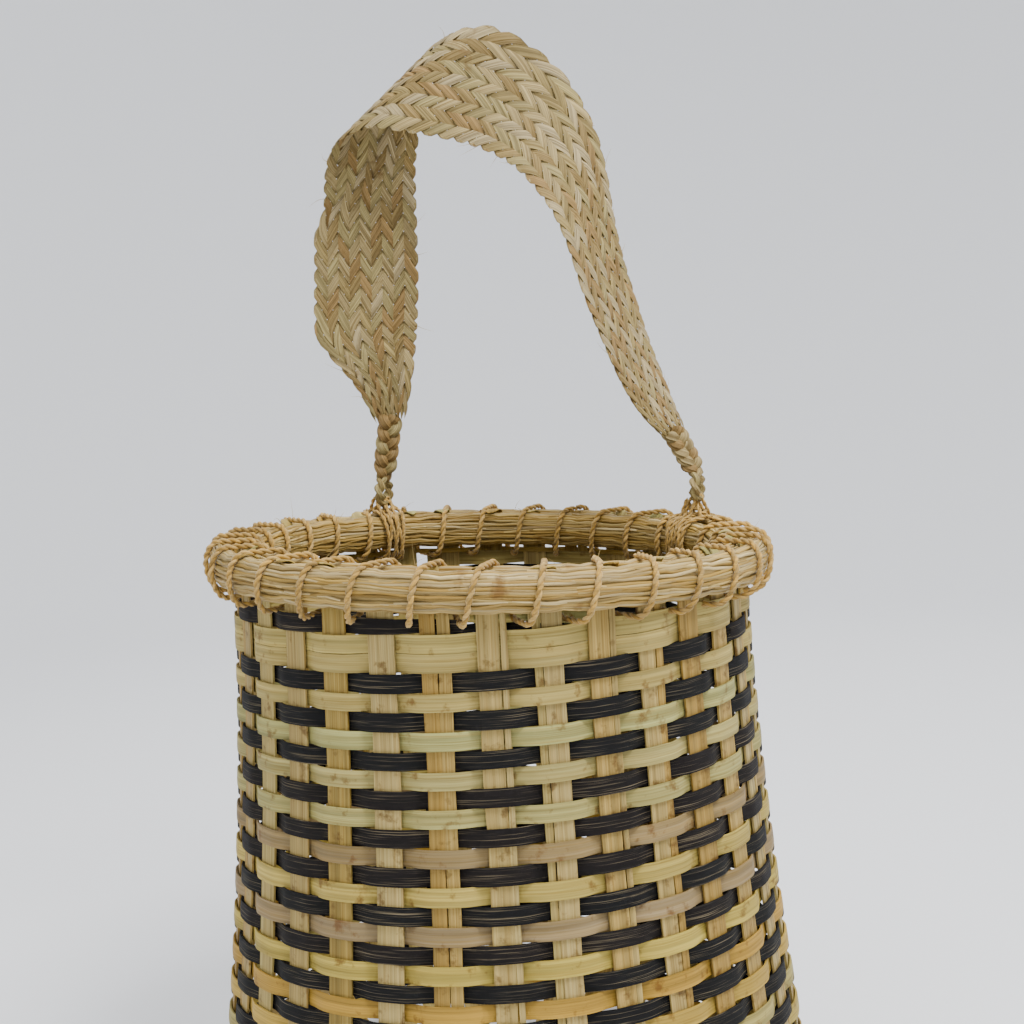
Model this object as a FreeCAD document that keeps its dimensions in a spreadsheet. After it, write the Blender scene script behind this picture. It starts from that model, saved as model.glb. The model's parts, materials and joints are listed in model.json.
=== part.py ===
"""Round splint basket with a plaited carrying strap.

Thirty-two upright splints (sixteen long ones, woven across the base and turned up on both
sides) hold two wefts, one dark and one light, that chase each other round the wall in a
spiral. Two bundles of straw clamp the tops of the uprights and are lashed with twine. The
strap is a flat plaited band that ends in two braids, each with an eye held by a twine tie
at the back of the rim.

Frame: millimetres, +Z up, origin in the middle of the base on the surface it stands on.
The strap is tied at the +Y side. Angles round the wall are counted from -Y towards +X.
"""
import FreeCAD, Part
import Sketcher
import math
import os

Vector = FreeCAD.Vector
doc = FreeCAD.newDocument("SplintBasket")

# Driving dimensions, in millimetres and degrees.
SIZES = (
    ("mouth_radius", 115.0),          # middle of the wall at the rim
    ("belly_radius", 132.0),          # middle of the wall where the base's round corner ends
    ("belly_height", 45.0),           # height of that place
    ("rim_height", 262.0),            # middle of the rim bundles
    ("rim_tilt", 2.6),                # the rim isn't quite level
    ("splint_width", 11.8),
    ("splint_thickness", 1.2),
    ("weft_thickness", 1.0),
    ("row_gap", 0.45),                # between one row and the next
    ("weave_clearance", 0.3),         # between strips that cross
    ("first_row", 20.5),              # from the flat base to the middle of the first row
    ("bundle_width", 10.6),
    ("bundle_height", 17.5),
    ("bundle_clearance", 0.6),        # between a bundle and the splints it clamps
    ("twine_width", 2.0),
    ("lashing_clearance", 0.3),
    ("lashing_slant", 15.0),
    ("strap_width", 50.0),
    ("strap_thickness", 2.4),
    ("strap_rise", 202.0),            # from the eyes to the top of the strap's middle line
    ("braid_width", 12.0),
    ("braid_thickness", 7.0),
    ("eye_radius", 6.5),              # middle of the eye's ring
    ("eye_cord_radius", 2.0),
)

sheet = doc.addObject("Spreadsheet::Sheet", "Sizes")
for row, (alias, value) in enumerate(SIZES, start=1):
    sheet.set("A%d" % row, alias)
    sheet.set("B%d" % row, str(value))
    sheet.setAlias("B%d" % row, alias)
doc.recompute()


def size(alias):
    """The value of one driving dimension."""
    return float(getattr(sheet, alias))


# What isn't a length: counts, shares and directions.
SPLINTS_EACH_WAY = 8
UPRIGHTS = 4 * SPLINTS_EACH_WAY
UPRIGHT_PITCH = 360.0 / UPRIGHTS
WALL_FLARE = 1.7                      # how the wall narrows: 1 is a straight cone
WEFT_TURNS = 15                       # dark and light pairs from the base to the rim
PAIRS_UNDER_RIM = 1.6                 # rows left between the last of those turns and the rim
SEAM_ANGLE = UPRIGHT_PITCH            # where one turn of the spiral ends
RIM_HIGH_SIDE = -45.0                 # the side where the tilted rim stands highest
TIE_ANGLE = 135.0                     # each side, where the strap's eyes are tied
LOOPS_IN_TIE = 3
TIE_SPREAD = 0.73                     # share of the gap between uprights that they spread over

BASE_LIFT = size("splint_thickness") / 2 + size("weave_clearance") / 2
BASE_MIDDLE = BASE_LIFT + size("splint_thickness") / 2
LASHING_SINE = math.sin(math.radians(size("lashing_slant")))
LASHING_COSINE = math.cos(math.radians(size("lashing_slant")))
LOOP_HALF_WIDTH = (size("splint_thickness") / 2 + size("bundle_clearance") + size("bundle_width")
                   + size("lashing_clearance"))
LOOP_HALF_HEIGHT = (size("bundle_height") / 2 + size("lashing_clearance")
                    + size("twine_width") / 2 * LASHING_SINE) / LASHING_COSINE
WEFT_OFFSET = (size("splint_thickness") + size("weft_thickness")) / 2 + size("weave_clearance")
LASHING_DEPTH = (LOOP_HALF_HEIGHT + size("twine_width") * (1 + LASHING_SINE / 2)
                 + size("lashing_clearance") - size("bundle_height") / 2)
EYE_OUTER = size("eye_radius") + size("eye_cord_radius")


def direction(angle):
    """Unit vector outwards from the axis at an angle round the wall."""
    turn = math.radians(angle)
    return Vector(math.sin(turn), -math.cos(turn), 0)


RIM_SLOPE = math.tan(math.radians(size("rim_tilt")))


def rim_level(point):
    """Height of the tilted rim's middle plane at a point."""
    return size("rim_height") + RIM_SLOPE * point.dot(direction(RIM_HIGH_SIDE))


def tie_point(side):
    """Point on the rim's middle plane where one eye is tied; side is -1 or +1."""
    place = direction(side * TIE_ANGLE) * size("mouth_radius")
    return place + Vector(0, 0, rim_level(place))


RIM_UP = (Vector(0, 0, 1) - direction(RIM_HIGH_SIDE) * RIM_SLOPE)
HINGE_HEIGHT = (max(tie_point(-1).z, tie_point(1).z) + size("bundle_height") / 2
                + LASHING_DEPTH + EYE_OUTER)


def eye_point(side):
    """Middle of one eye, above its tie; both are level and one behind the other along X."""
    heights = [HINGE_HEIGHT - tie_point(each).z for each in (-1, 1)]
    shift = RIM_UP * (sum(heights) / len(heights))
    return Vector(tie_point(side).x + shift.x, tie_point(side).y + shift.y, HINGE_HEIGHT)


# ---------------------------------------------------------------- the wall's middle surface
def wall_radius(height):
    """Radius of the wall's middle surface above the round corner."""
    span = size("rim_height") - size("belly_height")
    share = max(0.0, (size("rim_height") - height) / span)
    return size("mouth_radius") + (size("belly_radius") - size("mouth_radius")) * share ** WALL_FLARE


# The corner is one arc from the flat base, past upright, to the slope that the wall starts at.
WALL_START_SLOPE = (WALL_FLARE * (size("belly_radius") - size("mouth_radius"))
                    / (size("rim_height") - size("belly_height")))
CORNER_TURN = math.pi / 2 + math.atan(WALL_START_SLOPE)
CORNER_RADIUS = (size("belly_height") - BASE_MIDDLE) / (1 - math.cos(CORNER_TURN))
BASE_RADIUS = size("belly_radius") - CORNER_RADIUS * math.sin(CORNER_TURN)


def profile_points():
    """(arc, radius, height) along the middle surface from the base's centre upwards."""
    corner_steps = 60
    wall_steps = 60
    places = [(0.0, BASE_MIDDLE), (BASE_RADIUS, BASE_MIDDLE)]
    for step in range(1, corner_steps + 1):
        turn = CORNER_TURN * step / corner_steps
        places.append((BASE_RADIUS + CORNER_RADIUS * math.sin(turn),
                       BASE_MIDDLE + CORNER_RADIUS * (1 - math.cos(turn))))
    top = size("rim_height") + size("bundle_height")
    for step in range(1, wall_steps + 1):
        height = size("belly_height") + (top - size("belly_height")) * step / wall_steps
        places.append((wall_radius(height), height))
    points = [(0.0,) + places[0]]
    for before, after in zip(places, places[1:]):
        arc = points[-1][0] + math.hypot(after[0] - before[0], after[1] - before[1])
        points.append((arc,) + after)
    return points


PROFILE = profile_points()


def between(value, column):
    """The two profile points either side of a value in one column, and the share between."""
    for before, after in zip(PROFILE, PROFILE[1:]):
        if after[column] >= value and after[column] > before[column]:
            return before, after, (value - before[column]) / (after[column] - before[column])
    return PROFILE[-2], PROFILE[-1], 1.0


def profile_at(arc):
    """Radius and height of the middle surface at a distance along the profile."""
    before, after, share = between(arc, 0)
    return (before[1] + (after[1] - before[1]) * share,
            before[2] + (after[2] - before[2]) * share)


def arc_at_height(height):
    """Distance along the profile at which the wall reaches a height."""
    before, after, share = between(height, 2)
    return before[0] + (after[0] - before[0]) * share


def profile_tangent(arc):
    """Unit (radial, upward) direction of the profile."""
    reach = 1.0
    low = profile_at(max(0.0, arc - reach))
    high = profile_at(arc + reach)
    length = math.hypot(high[0] - low[0], high[1] - low[1])
    return (high[0] - low[0]) / length, (high[1] - low[1]) / length


# The rows share out the profile between the base's edge and the rim.
BOTTOM_ROW_ARC = BASE_RADIUS + size("first_row")
UNDER_RIM_ARC = arc_at_height(size("rim_height") - size("bundle_height") / 2)
PAIR_PITCH = (UNDER_RIM_ARC - BOTTOM_ROW_ARC) / (WEFT_TURNS - 0.5 + PAIRS_UNDER_RIM)
WEFT_WIDTH = PAIR_PITCH / 2 - size("row_gap")


# ---------------------------------------------------------------- solids with flat faces
def triangle(*corners):
    return Part.Face(Part.makePolygon(list(corners) + [corners[0]]))


def solid_through(sections, closed=False):
    """Solid through polygons with the same number of corners, all of its faces flat."""
    corners = len(sections[0])
    after = sections[1:] + sections[:1] if closed else sections[1:]
    faces = []
    for near, far in zip(sections, after):
        for corner in range(corners):
            following = (corner + 1) % corners
            faces.append(triangle(near[corner], near[following], far[following]))
            faces.append(triangle(near[corner], far[following], far[corner]))
    if not closed:
        for cap in (sections[0], sections[-1]):
            for corner in range(1, corners - 1):
                faces.append(triangle(cap[0], cap[corner], cap[corner + 1]))
    solid = Part.Solid(Part.Shell(faces))
    if solid.Volume < 0:
        solid.reverse()
    return solid


def rectangle(centre, across, width, normal, thickness):
    """Four corners of a strip's section."""
    side = across * (width / 2)
    face = normal * (thickness / 2)
    return [centre + side + face, centre - side + face, centre - side - face, centre + side - face]


def add_piece(label, shape, placement=None):
    """Put a finished shape in the document as a sub-part."""
    piece = doc.addObject("Part::Feature", label)
    piece.Shape = shape
    if placement is not None:
        piece.Placement = placement
    piece.Label = label
    PIECES.append(piece)
    return piece


PIECES = []


# ---------------------------------------------------------------- upright splints
def splint_line(index):
    """Angle from its own axis at which a long splint climbs the wall."""
    return (index - (SPLINTS_EACH_WAY - 1) / 2.0) * UPRIGHT_PITCH


def base_offset(index):
    """Sideways place of a long splint where it crosses the base."""
    return BASE_RADIUS * math.sin(math.radians(splint_line(index)))


def place(along, lateral, height, runs_along_x):
    return Vector(along, lateral, height) if runs_along_x else Vector(lateral, along, height)


def climbing_sections(index, side, runs_along_x):
    """Sections of one end of a long splint, from the flat base's edge up to its tip."""
    line = math.radians(splint_line(index))
    edge = BASE_RADIUS * math.cos(line)
    half_turned = place(-side * math.sin(line / 2), math.cos(line / 2), 0, runs_along_x)
    across = place(-side * math.sin(line), math.cos(line), 0, runs_along_x)
    outwards = place(side * math.cos(line), math.sin(line), 0, runs_along_x)
    start = place(side * edge, base_offset(index), BASE_MIDDLE, runs_along_x)
    sections = [rectangle(start, half_turned, size("splint_width"), Vector(0, 0, -1),
                          size("splint_thickness"))]
    corner_arc = arc_at_height(size("belly_height"))
    corner_steps = 16
    arcs = [BASE_RADIUS + (corner_arc - BASE_RADIUS) * step / corner_steps
            for step in range(1, corner_steps + 1)]
    rim = rim_level(outwards * size("mouth_radius"))
    under_rim = arc_at_height(rim - size("bundle_height") / 2)
    wall_steps = 9
    arcs += [corner_arc + (under_rim - corner_arc) * step / wall_steps
             for step in range(1, wall_steps + 1)]
    arcs.append(arc_at_height(rim + size("bundle_height") / 2 - size("splint_thickness")))
    for arc in arcs:
        radius, height = profile_at(arc)
        radial, upward = profile_tangent(arc)
        normal = outwards * upward - Vector(0, 0, radial)
        centre = outwards * radius + Vector(0, 0, height)
        sections.append(rectangle(centre, across, size("splint_width"), normal,
                                  size("splint_thickness")))
    return sections


def crossing_sections(index, runs_along_x):
    """Sections of a long splint over and under the splints that cross it in the base."""
    sections = []
    for other in range(SPLINTS_EACH_WAY):
        on_top = (index + other) % 2 == (0 if runs_along_x else 1)
        height = BASE_MIDDLE + (BASE_LIFT if on_top else -BASE_LIFT)
        for edge in (-0.5, 0.5):
            along = base_offset(other) + edge * size("splint_width")
            centre = place(along, base_offset(index), height, runs_along_x)
            sections.append(rectangle(centre, place(0, 1, 0, runs_along_x), size("splint_width"),
                                      Vector(0, 0, -1), size("splint_thickness")))
    return sections


def upright_splint(index, runs_along_x):
    """One long splint: up one side of the wall, across the base and up the other side."""
    far_end = climbing_sections(index, -1, runs_along_x)
    far_end.reverse()
    middle = crossing_sections(index, runs_along_x)
    near_end = climbing_sections(index, 1, runs_along_x)
    return solid_through(far_end + middle + near_end)


for index in range(SPLINTS_EACH_WAY):
    add_piece("splint_across_%d" % (index + 1), upright_splint(index, True))
    add_piece("splint_along_%d" % (index + 1), upright_splint(index, False))


# ---------------------------------------------------------------- wefts
def weft_section(angle, arc, offset, spread):
    """Section of a weft; spread keeps a flat stretch parallel to the splint it crosses."""
    radius, height = profile_at(arc)
    radial, upward = profile_tangent(arc)
    outwards = direction(angle)
    rim = rim_level(outwards * size("mouth_radius"))
    ceiling = arc_at_height(rim - size("bundle_height") / 2 - LASHING_DEPTH)
    low = -WEFT_WIDTH / 2
    high = min(WEFT_WIDTH / 2, ceiling - arc)
    along = outwards * (radial / spread) + Vector(0, 0, upward)
    normal = outwards * (upward / spread) - Vector(0, 0, radial)
    centre = outwards * (radius / spread) + Vector(0, 0, height)
    inner = offset - size("weft_thickness") / 2
    outer = offset + size("weft_thickness") / 2
    return [centre + along * low + normal * inner, centre + along * low + normal * outer,
            centre + along * high + normal * outer, centre + along * high + normal * inner]


def weft(arc_of, first_upright, last_upright, over_even):
    """A weft from one gap between uprights to another, in front of every second upright.

    Uprights are counted from the seam. arc_of gives the middle of the strip along the
    profile after a number of uprights, and over_even says which ones it passes in front of.
    """
    sections = []

    def gap(count):
        angle = SEAM_ANGLE + UPRIGHT_PITCH * count
        sections.append(weft_section(angle, arc_of(count), 0.0, 1.0))

    gap(first_upright)
    for upright in range(first_upright, last_upright):
        offset = WEFT_OFFSET if (upright % 2 == 0) == over_even else -WEFT_OFFSET
        middle = SEAM_ANGLE + UPRIGHT_PITCH * (upright + 0.5)
        radius = profile_at(arc_of(upright + 0.5))[0]
        half_angle = math.atan(size("splint_width") / 2 / radius)
        for edge in (-half_angle, half_angle):
            count = upright + 0.5 + math.degrees(edge) / UPRIGHT_PITCH
            sections.append(weft_section(middle + math.degrees(edge), arc_of(count), offset,
                                         math.cos(half_angle)))
    gap(last_upright)
    return solid_through(sections)


def smooth_step(value, start, end):
    share = min(1.0, max(0.0, (value - start) / (end - start)))
    return share * share * (3 - 2 * share)


EXTRA_ROW_FROM = 18                   # uprights after the seam at which the extra row starts
EXTRA_ROW_FULL = 22
EXTRA_ROW_END = 7                     # uprights after the next seam at which it ends


def dark_arc(turn):
    """Middle of a dark weft; the top one climbs over the extra light row as it ends."""
    def arc_of(count):
        arc = BOTTOM_ROW_ARC + PAIR_PITCH * (turn + 0.5 + count / float(UPRIGHTS))
        if turn == WEFT_TURNS - 1:
            arc += PAIR_PITCH / 2 * smooth_step(count, EXTRA_ROW_FROM, EXTRA_ROW_FULL)
        return arc
    return arc_of


def light_arc(turn):
    """Middle of a light weft, half a pair below the dark weft of the same turn."""
    def arc_of(count):
        return BOTTOM_ROW_ARC + PAIR_PITCH * (turn + count / float(UPRIGHTS))
    return arc_of


def extra_light_arc(count):
    """Middle of the extra light row that fills the high side under the rim."""
    return light_arc(WEFT_TURNS)(count) + PAIR_PITCH / 2


for turn in range(WEFT_TURNS):
    add_piece("light_weft_%02d" % (turn + 1), weft(light_arc(turn), 0, UPRIGHTS, False))
    add_piece("dark_weft_%02d" % (turn + 1), weft(dark_arc(turn), 0, UPRIGHTS, True))
add_piece("light_weft_%02d" % (WEFT_TURNS + 1), weft(light_arc(WEFT_TURNS), 0, EXTRA_ROW_FROM, False))
add_piece("extra_light_weft", weft(extra_light_arc, EXTRA_ROW_FULL - UPRIGHTS, EXTRA_ROW_END, False))


# ---------------------------------------------------------------- rim bundles
RIM_PLACEMENT = FreeCAD.Placement(
    Vector(0, 0, size("rim_height")),
    FreeCAD.Rotation(direction(RIM_HIGH_SIDE + 90), -size("rim_tilt")))


def origin_plane(body, role):
    return [feature for feature in body.Origin.OriginFeatures if feature.Role == role][0]


def rim_bundle(label, side):
    """A ring of straw with an upright oval section, outside (+1) or inside (-1) the wall."""
    body = doc.addObject("PartDesign::Body", label)
    sketch = body.newObject("Sketcher::SketchObject", label + "_section")
    sketch.AttachmentSupport = (origin_plane(body, "XZ_Plane"), [""])
    sketch.MapMode = "FlatFace"
    radius = size("mouth_radius") + side * (
        size("splint_thickness") / 2 + size("bundle_clearance") + size("bundle_width") / 2)
    half_width = size("bundle_width") / 2
    half_height = size("bundle_height") / 2
    centre = Vector(radius, 0, 0)
    oval = Part.Ellipse(centre + Vector(0, half_height, 0), centre + Vector(half_width, 0, 0), centre)
    sketch.addGeometry(oval, False)
    sketch.exposeInternalGeometry(0)
    sketch.addConstraint(Sketcher.Constraint("Vertical", 1))
    sketch.addConstraint(Sketcher.Constraint("PointOnObject", 0, 3, -1))
    tall = sketch.addConstraint(Sketcher.Constraint("Distance", 1, 2 * half_height))
    wide = sketch.addConstraint(Sketcher.Constraint("Distance", 2, 2 * half_width))
    out = sketch.addConstraint(Sketcher.Constraint("DistanceX", -1, 1, 0, 3, radius))
    sketch.setExpression("Constraints[%d]" % tall, "Sizes.bundle_height")
    sketch.setExpression("Constraints[%d]" % wide, "Sizes.bundle_width")
    sketch.setExpression("Constraints[%d]" % out, "Sizes.mouth_radius %s (Sizes.splint_thickness / 2"
                         " + Sizes.bundle_clearance + Sizes.bundle_width / 2)"
                         % ("+" if side > 0 else "-"))
    ring = body.newObject("PartDesign::Revolution", label + "_ring")
    ring.Profile = sketch
    ring.ReferenceAxis = (sketch, ["V_Axis"])
    ring.Angle = 360.0
    body.Tip = ring
    body.Placement = RIM_PLACEMENT
    body.Label = label
    PIECES.append(body)
    return body


rim_bundle("rim_outer_bundle", 1)
rim_bundle("rim_inner_bundle", -1)


# ---------------------------------------------------------------- lashing and ties
LOOP_CORNER = 0.2 * size("bundle_height")


def loop_outline(grow, peak=None):
    """Outline of a twine loop round both bundles, in its own plane; peak lifts its top."""
    wide = LOOP_HALF_WIDTH + grow
    tall = LOOP_HALF_HEIGHT + grow
    cut = LOOP_CORNER + grow * (2 - math.sqrt(2))
    right = [(wide, -tall + cut), (wide, tall - cut), (wide - cut, tall)]
    if peak is not None:
        right.append((EYE_OUTER / 2 + grow / 2, peak + grow))
    left = [(-across, height) for across, height in reversed(right)]
    bottom = [(-wide + cut, -tall), (wide - cut, -tall)]
    return [Vector(across, 0, height) for across, height in right + left + bottom]


def closed_wire(points):
    return Part.makePolygon(points + [points[0]])


def twine_loop(angle, shift=0.0, slant=0.0, peak=None):
    """A loop of twine round the rim at an angle, shifted along the rim and slanted."""
    outer = Part.Face(closed_wire(loop_outline(size("twine_width"), peak)))
    inner = Part.Face(closed_wire(loop_outline(0.0, peak)))
    loop = outer.cut(inner).Faces[0].extrude(Vector(0, size("twine_width"), 0))
    loop.translate(Vector(0, shift - size("twine_width") / 2, 0))
    loop.rotate(Vector(0, 0, 0), Vector(1, 0, 0), slant)
    loop.translate(Vector(size("mouth_radius"), 0, 0))
    loop.rotate(Vector(0, 0, 0), Vector(0, 0, 1), angle - 90)
    return loop


def tie(side):
    """Loops side by side; the middle one stands up through the eye of the strap."""
    gap = math.radians(UPRIGHT_PITCH) * size("mouth_radius") - size("splint_width")
    spacing = TIE_SPREAD * (gap - size("twine_width")) / (LOOPS_IN_TIE - 1)
    strand = HINGE_HEIGHT - size("eye_radius") + size("eye_cord_radius") + 3 * size("lashing_clearance")
    peak = strand - tie_point(side).z
    loops = []
    for count in range(LOOPS_IN_TIE):
        from_middle = count - (LOOPS_IN_TIE - 1) / 2.0
        loops.append(twine_loop(side * TIE_ANGLE, from_middle * spacing,
                                peak=peak if from_middle == 0 else None))
    return Part.makeCompound(loops)


def lashing():
    """One slanting stitch in every gap between uprights, but none where a tie is."""
    foot_lead = math.degrees(LOOP_HALF_HEIGHT * LASHING_SINE / size("mouth_radius"))
    loops = []
    for count in range(UPRIGHTS):
        angle = -180 + UPRIGHT_PITCH * count
        if abs(angle) != TIE_ANGLE:
            loops.append(twine_loop(angle - foot_lead, slant=size("lashing_slant")))
    return Part.makeCompound(loops)


add_piece("rim_lashing", lashing(), RIM_PLACEMENT)
add_piece("left_tie", tie(-1), RIM_PLACEMENT)
add_piece("right_tie", tie(1), RIM_PLACEMENT)


# ---------------------------------------------------------------- strap
# Middle of the band (x, y as shares of the mouth radius, z as a share of the strap's rise
# above the eyes), the direction across the band, and the width that way as a share of the
# full width. Over the top the band folds about a slanting line, so it is crossed at a slant.
STRAP = (
    ((-0.65, 0.71, 0.173), (0.96, 0.29, 0.00), 0.28),
    ((-0.67, 0.7, 0.275), (0.96, 0.29, 0.00), 0.57),
    ((-0.73, 0.69, 0.388), (0.96, 0.29, 0.00), 0.96),
    ((-0.72, 0.69, 0.490), (0.96, 0.29, 0.00), 1.00),
    ((-0.71, 0.69, 0.602), (0.93, 0.28, 0.24), 1.03),
    ((-0.7, 0.69, 0.724), (0.85, 0.25, 0.47), 1.13),
    ((-0.66, 0.69, 0.816), (0.72, 0.22, 0.66), 1.30),
    ((-0.64, 0.67, 0.877), (0.72, 0.22, 0.66), 1.30),
    ((-0.6, 0.61, 0.928), (0.72, 0.22, 0.66), 1.30),
    ((-0.53, 0.54, 0.969), (0.72, 0.22, 0.66), 1.30),
    ((-0.43, 0.48, 0.989), (0.72, 0.22, 0.66), 1.30),
    ((-0.33, 0.45, 0.999), (0.72, 0.22, 0.66), 1.30),
    ((-0.22, 0.46, 0.989), (0.68, 0.20, 0.70), 1.26),
    ((-0.1, 0.49, 0.969), (0.55, 0.19, 0.81), 1.12),
    ((0.02, 0.52, 0.938), (0.44, 0.24, 0.86), 1.04),
    ((0.15, 0.56, 0.877), (0.40, 0.42, 0.81), 1.00),
    ((0.26, 0.59, 0.775), (0.32, 0.65, 0.70), 1.00),
    ((0.31, 0.61, 0.683), (0.24, 0.78, 0.58), 1.00),
    ((0.34, 0.62, 0.591), (0.18, 0.87, 0.45), 1.00),
    ((0.37, 0.63, 0.510), (0.17, 0.93, 0.30), 1.00),
    ((0.41, 0.65, 0.428), (0.18, 0.96, 0.16), 1.00),
    ((0.46, 0.66, 0.337), (0.20, 0.97, 0.08), 0.94),
    ((0.51, 0.68, 0.255), (0.29, 0.95, 0.00), 0.80),
    ((0.565, 0.69, 0.184), (0.42, 0.91, 0.00), 0.56),
    ((0.63, 0.71, 0.122), (0.60, 0.80, 0.00), 0.30),
)


def strap_stations():
    """Middle point, direction across and width of the band at each station."""
    stations = []
    for (x_share, y_share, z_share), across, width_share in STRAP:
        middle = Vector(x_share * size("mouth_radius"), y_share * size("mouth_radius"),
                        HINGE_HEIGHT + z_share * size("strap_rise"))
        stations.append((middle, Vector(*across).normalize(), width_share * size("strap_width")))
    return stations


STATIONS = strap_stations()


def strap_normals():
    """Direction through the band's thickness at each station."""
    normals = []
    last = len(STATIONS) - 1
    for number, (middle, across, width) in enumerate(STATIONS):
        before = STATIONS[max(0, number - 1)][0]
        after = STATIONS[min(last, number + 1)][0]
        normals.append((after - before).cross(across).normalize())
    return normals


def strap_band():
    sections = []
    for (middle, across, width), normal in zip(STATIONS, strap_normals()):
        sections.append(rectangle(middle, across, width, normal, size("strap_thickness")))
    return solid_through(sections)


def eye_ring(centre):
    """Ring at a braid's foot, lying across the hinge axis."""
    around = 16
    corners = 6
    sections = []
    for step in range(around):
        turn = 2 * math.pi * step / around
        out = Vector(0, math.cos(turn), math.sin(turn))
        section = []
        for corner in range(corners):
            roll = 2 * math.pi * corner / corners
            section.append(centre + out * (size("eye_radius") + size("eye_cord_radius") * math.cos(roll))
                           + Vector(size("eye_cord_radius") * math.sin(roll), 0, 0))
        sections.append(section)
    return solid_through(sections, closed=True)


def braid(side):
    """A flat-sided braid from the band's end down to its eye."""
    end = STATIONS[0] if side < 0 else STATIONS[-1]
    eye = eye_point(side)
    steps = 5
    corners = 8
    foot = eye + Vector(0, 0, size("eye_radius"))
    run = (end[0] - foot).normalize()
    top = end[0] - run * size("lashing_clearance")
    sections = []
    for step in range(steps + 1):
        share = step / float(steps)
        middle = foot + (top - foot) * share
        start_across = Vector(0, 1, 0)
        across = (start_across * (1 - share) + end[1] * share).normalize()
        through = across.cross(run).normalize()
        narrow = 0.45 + 0.55 * min(1.0, 2.5 * share)
        section = []
        for corner in range(corners):
            roll = 2 * math.pi * (corner + 0.5) / corners
            section.append(middle + across * (size("braid_width") / 2 * narrow * math.cos(roll))
                           + through * (size("braid_thickness") / 2 * narrow * math.sin(roll)))
        sections.append(section)
    return eye_ring(eye).fuse(solid_through(sections))


add_piece("strap_band", strap_band())
add_piece("left_braid", braid(-1))
add_piece("right_braid", braid(1))


# ---------------------------------------------------------------- check and write
doc.recompute()
for item in doc.Objects:
    faults = [state for state in item.State if state in ("Invalid", "Error")]
    if faults:
        raise RuntimeError("%s: %s" % (item.Label, ", ".join(faults)))
for piece in PIECES:
    if piece.Shape.isNull() or not piece.Shape.isValid():
        raise RuntimeError("%s has no valid shape" % piece.Label)

os.makedirs("parts", exist_ok=True)
for piece in PIECES:
    piece.Shape.exportStep("parts/%s.step" % piece.Label)
print("%d sub-parts, eyes at y %.2f z %.2f mm, %.2f mm from one dark row to the next"
      % (len(PIECES), eye_point(1).y, HINGE_HEIGHT, PAIR_PITCH))
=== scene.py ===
# %% [markdown]
# # A hand-woven splint basket
# The basket is woven from flat splints, its rim is two bundles of straw lashed with twine,
# and its strap is a band of plaited palm leaf that ends in two braids. The CAD model gives
# every place and size. This lesson builds the woven, twisted and plaited surfaces round it,
# mostly as long strips, because that is what the maker works with.

import json
import math
import random

import bmesh
import bpy
import numpy as np
from mathutils import Euler, Matrix


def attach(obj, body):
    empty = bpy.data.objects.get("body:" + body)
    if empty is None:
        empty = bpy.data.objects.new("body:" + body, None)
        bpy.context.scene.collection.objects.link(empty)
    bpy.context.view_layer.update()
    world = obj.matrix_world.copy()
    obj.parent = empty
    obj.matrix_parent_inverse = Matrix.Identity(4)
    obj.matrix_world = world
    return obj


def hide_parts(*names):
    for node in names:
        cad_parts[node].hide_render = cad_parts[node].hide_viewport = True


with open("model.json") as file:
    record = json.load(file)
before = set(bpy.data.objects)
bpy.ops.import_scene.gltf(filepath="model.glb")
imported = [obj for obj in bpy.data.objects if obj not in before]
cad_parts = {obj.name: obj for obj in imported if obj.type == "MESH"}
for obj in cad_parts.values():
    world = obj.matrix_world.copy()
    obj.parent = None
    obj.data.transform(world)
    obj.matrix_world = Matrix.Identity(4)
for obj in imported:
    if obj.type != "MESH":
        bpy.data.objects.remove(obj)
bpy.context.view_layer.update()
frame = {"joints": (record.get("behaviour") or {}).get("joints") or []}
MM = 0.001

# %% [markdown]
# ## The wall's middle surface
# Every strip of the weave follows one round surface: a flat base, one circular corner and a
# wall that narrows towards the mouth. It could be a mesh to shrink-wrap strips on, but a rule
# that gives a point for any angle and any distance up the profile is exact and quick, so the
# strips are worked out from that. Angles are counted from -Y towards +X.

# %% The wall's rule
MOUTH_RADIUS, BELLY_RADIUS = 115 * MM, 132 * MM
BELLY_HEIGHT, RIM_HEIGHT = 45 * MM, 262 * MM
RIM_TILT = math.radians(2.6)
RIM_SLOPE = math.tan(RIM_TILT)
RIM_HIGH_SIDE = math.radians(-45)
WALL_FLARE = 1.7
SPLINT_WIDTH, SPLINT_THICKNESS = 11.8 * MM, 1.2 * MM
BUNDLE_WIDTH, BUNDLE_HEIGHT = 10.6 * MM, 17.5 * MM
BUNDLE_CLEARANCE = 0.6 * MM
UPRIGHTS = 32
STEP = 2 * math.pi / UPRIGHTS
SEAM = STEP
BASE_LIFT = 0.75 * MM
BASE_MIDDLE = BASE_LIFT + SPLINT_THICKNESS / 2


def direction(angle):
    """Unit vectors outwards at angles round the wall."""
    angle = np.asarray(angle, float)
    return np.stack([np.sin(angle), -np.cos(angle), 0 * angle], -1)


def rim_level(angle):
    """Height of the tilted rim's middle at an angle round the mouth."""
    return RIM_HEIGHT + RIM_SLOPE * MOUTH_RADIUS * np.cos(np.asarray(angle) - RIM_HIGH_SIDE)


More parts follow.
